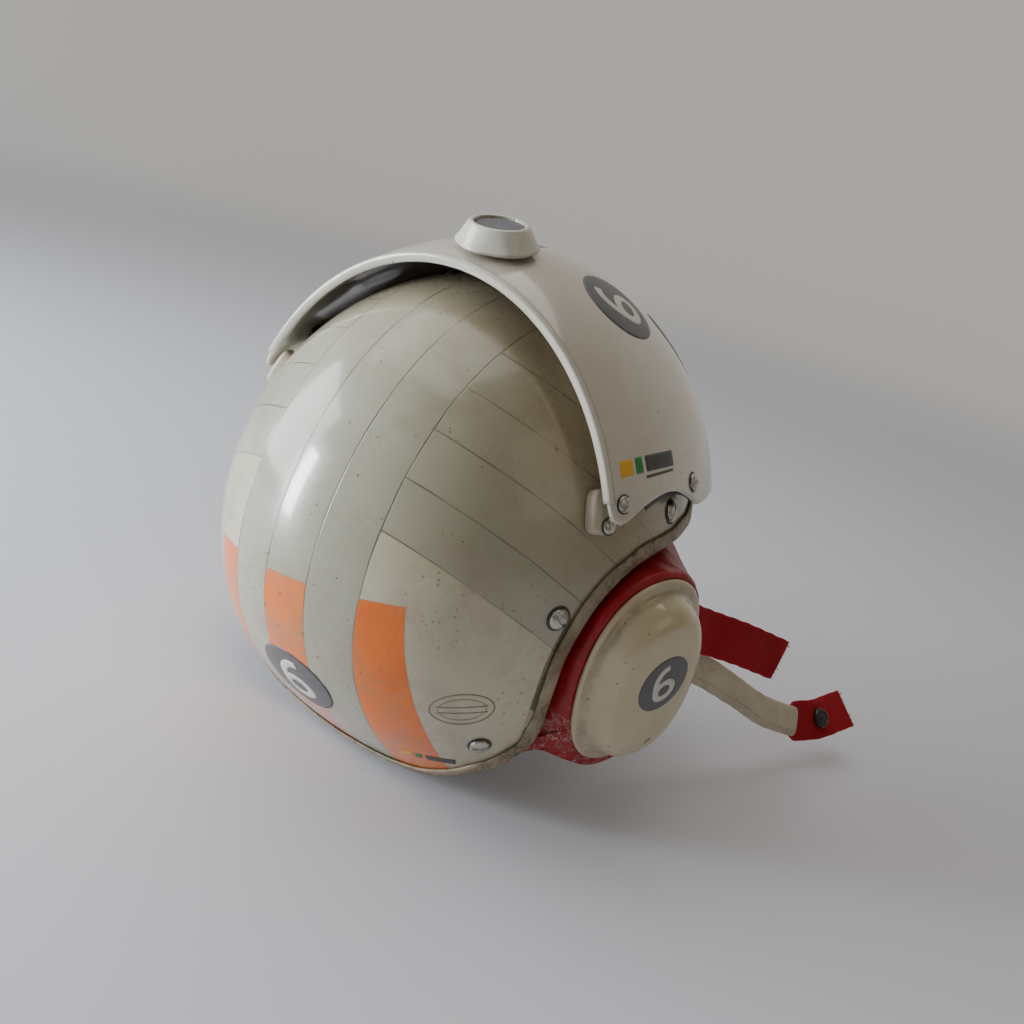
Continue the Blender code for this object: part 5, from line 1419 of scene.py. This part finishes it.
world = bpy.data.worlds.new("studio")
world.use_nodes = True
bpy.context.scene.world = world
wt = world.node_tree
bg = wt.nodes["Background"]
tcw = wt.nodes.new("ShaderNodeTexCoord")
def wdot(v, lo, hi):
    """0 to 1 as the direction turns towards v."""
    d = wt.nodes.new("ShaderNodeVectorMath")
    d.operation = "DOT_PRODUCT"
    wt.links.new(tcw.outputs["Generated"], d.inputs[0])
    d.inputs[1].default_value = tuple(v)
    r = wt.nodes.new("ShaderNodeMapRange")
    r.interpolation_type = "SMOOTHSTEP"
    r.inputs["From Min"].default_value = lo
    r.inputs["From Max"].default_value = hi
    wt.links.new(d.outputs["Value"], r.inputs["Value"])
    return r.outputs[0]


def wmix(f, a, b):
    x = wt.nodes.new("ShaderNodeMix")
    x.data_type = "RGBA"
    wt.links.new(f, x.inputs[0])
    for i, v in ((6, a), (7, b)):
        if isinstance(v, tuple):
            x.inputs[i].default_value = (*v, 1)
        else:
            wt.links.new(v, x.inputs[i])
    return x.outputs[2]


ROOM_DARK = (0.150, 0.136, 0.115)
WALL = (0.475, 0.452, 0.415)
room = wmix(wdot(C_FWD, -0.15, 0.55), ROOM_DARK, WALL)
room = wmix(wdot(-C_RIGHT, 0.15, 0.95), room, (0.52, 0.55, 0.60))
below = wdot((0, 0, -1.0), 0.02, 0.30)
room = wmix(below, room, (0.40, 0.41, 0.44))
wt.links.new(room, bg.inputs["Color"])
bg.inputs["Strength"].default_value = 1.0


def area(name, pos, target, size, power, colour=(1, 1, 1), size_y=None):
    l = bpy.data.lights.new(name, "AREA")
    l.energy = power
    l.color = colour
    l.size = size
    if size_y:
        l.shape = "RECTANGLE"
        l.size_y = size_y
    o = bpy.data.objects.new(name, l)
    o.location = pos
    d = Vector(target) - Vector(pos)
    o.rotation_euler = d.to_track_quat("-Z", "Y").to_euler()
    bpy.context.scene.collection.objects.link(o)
    return o


L, U_, T_ = -C_RIGHT, -C_DOWN, -C_FWD
area("window", tuple(np.array([0.68, 0.73, 0.02]) * 1.25), (0, 0, 0), 0.16, 24.0, (0.88, 0.95, 1.0), 0.70)
area("window_upper", tuple((L * 0.9 + U_ * 0.55 + T_ * 0.05) * 1.3), (0, 0, 0), 0.8, 14.0, (0.88, 0.94, 1.0), 0.8)
area("ceiling", tuple(U_ * 1.5 + T_ * 0.2 - L * 0.1), (0, 0, 0), 1.5, 9.5, (1.0, 0.97, 0.93))
area("fill_right", tuple(-L * 1.2 + U_ * 0.3 + T_ * 0.9), (0, 0, 0), 0.9, 1.2, (1.0, 0.88, 0.70))

cam = bpy.data.cameras.new("camera")
cam.sensor_width = 36.0
cam.lens = 1080.0 / 1024.0 * 36.0
cam.clip_start = 0.01
co = bpy.data.objects.new("camera", cam)
bpy.context.scene.collection.objects.link(co)
P_ = C_POS * MM
co.matrix_world = Matrix((
    (C_RIGHT[0], -C_DOWN[0], -C_FWD[0], P_[0]),
    (C_RIGHT[1], -C_DOWN[1], -C_FWD[1], P_[1]),
    (C_RIGHT[2], -C_DOWN[2], -C_FWD[2], P_[2]),
    (0, 0, 0, 1),
))
bpy.context.scene.camera = co

bpy.context.view_layer.update()
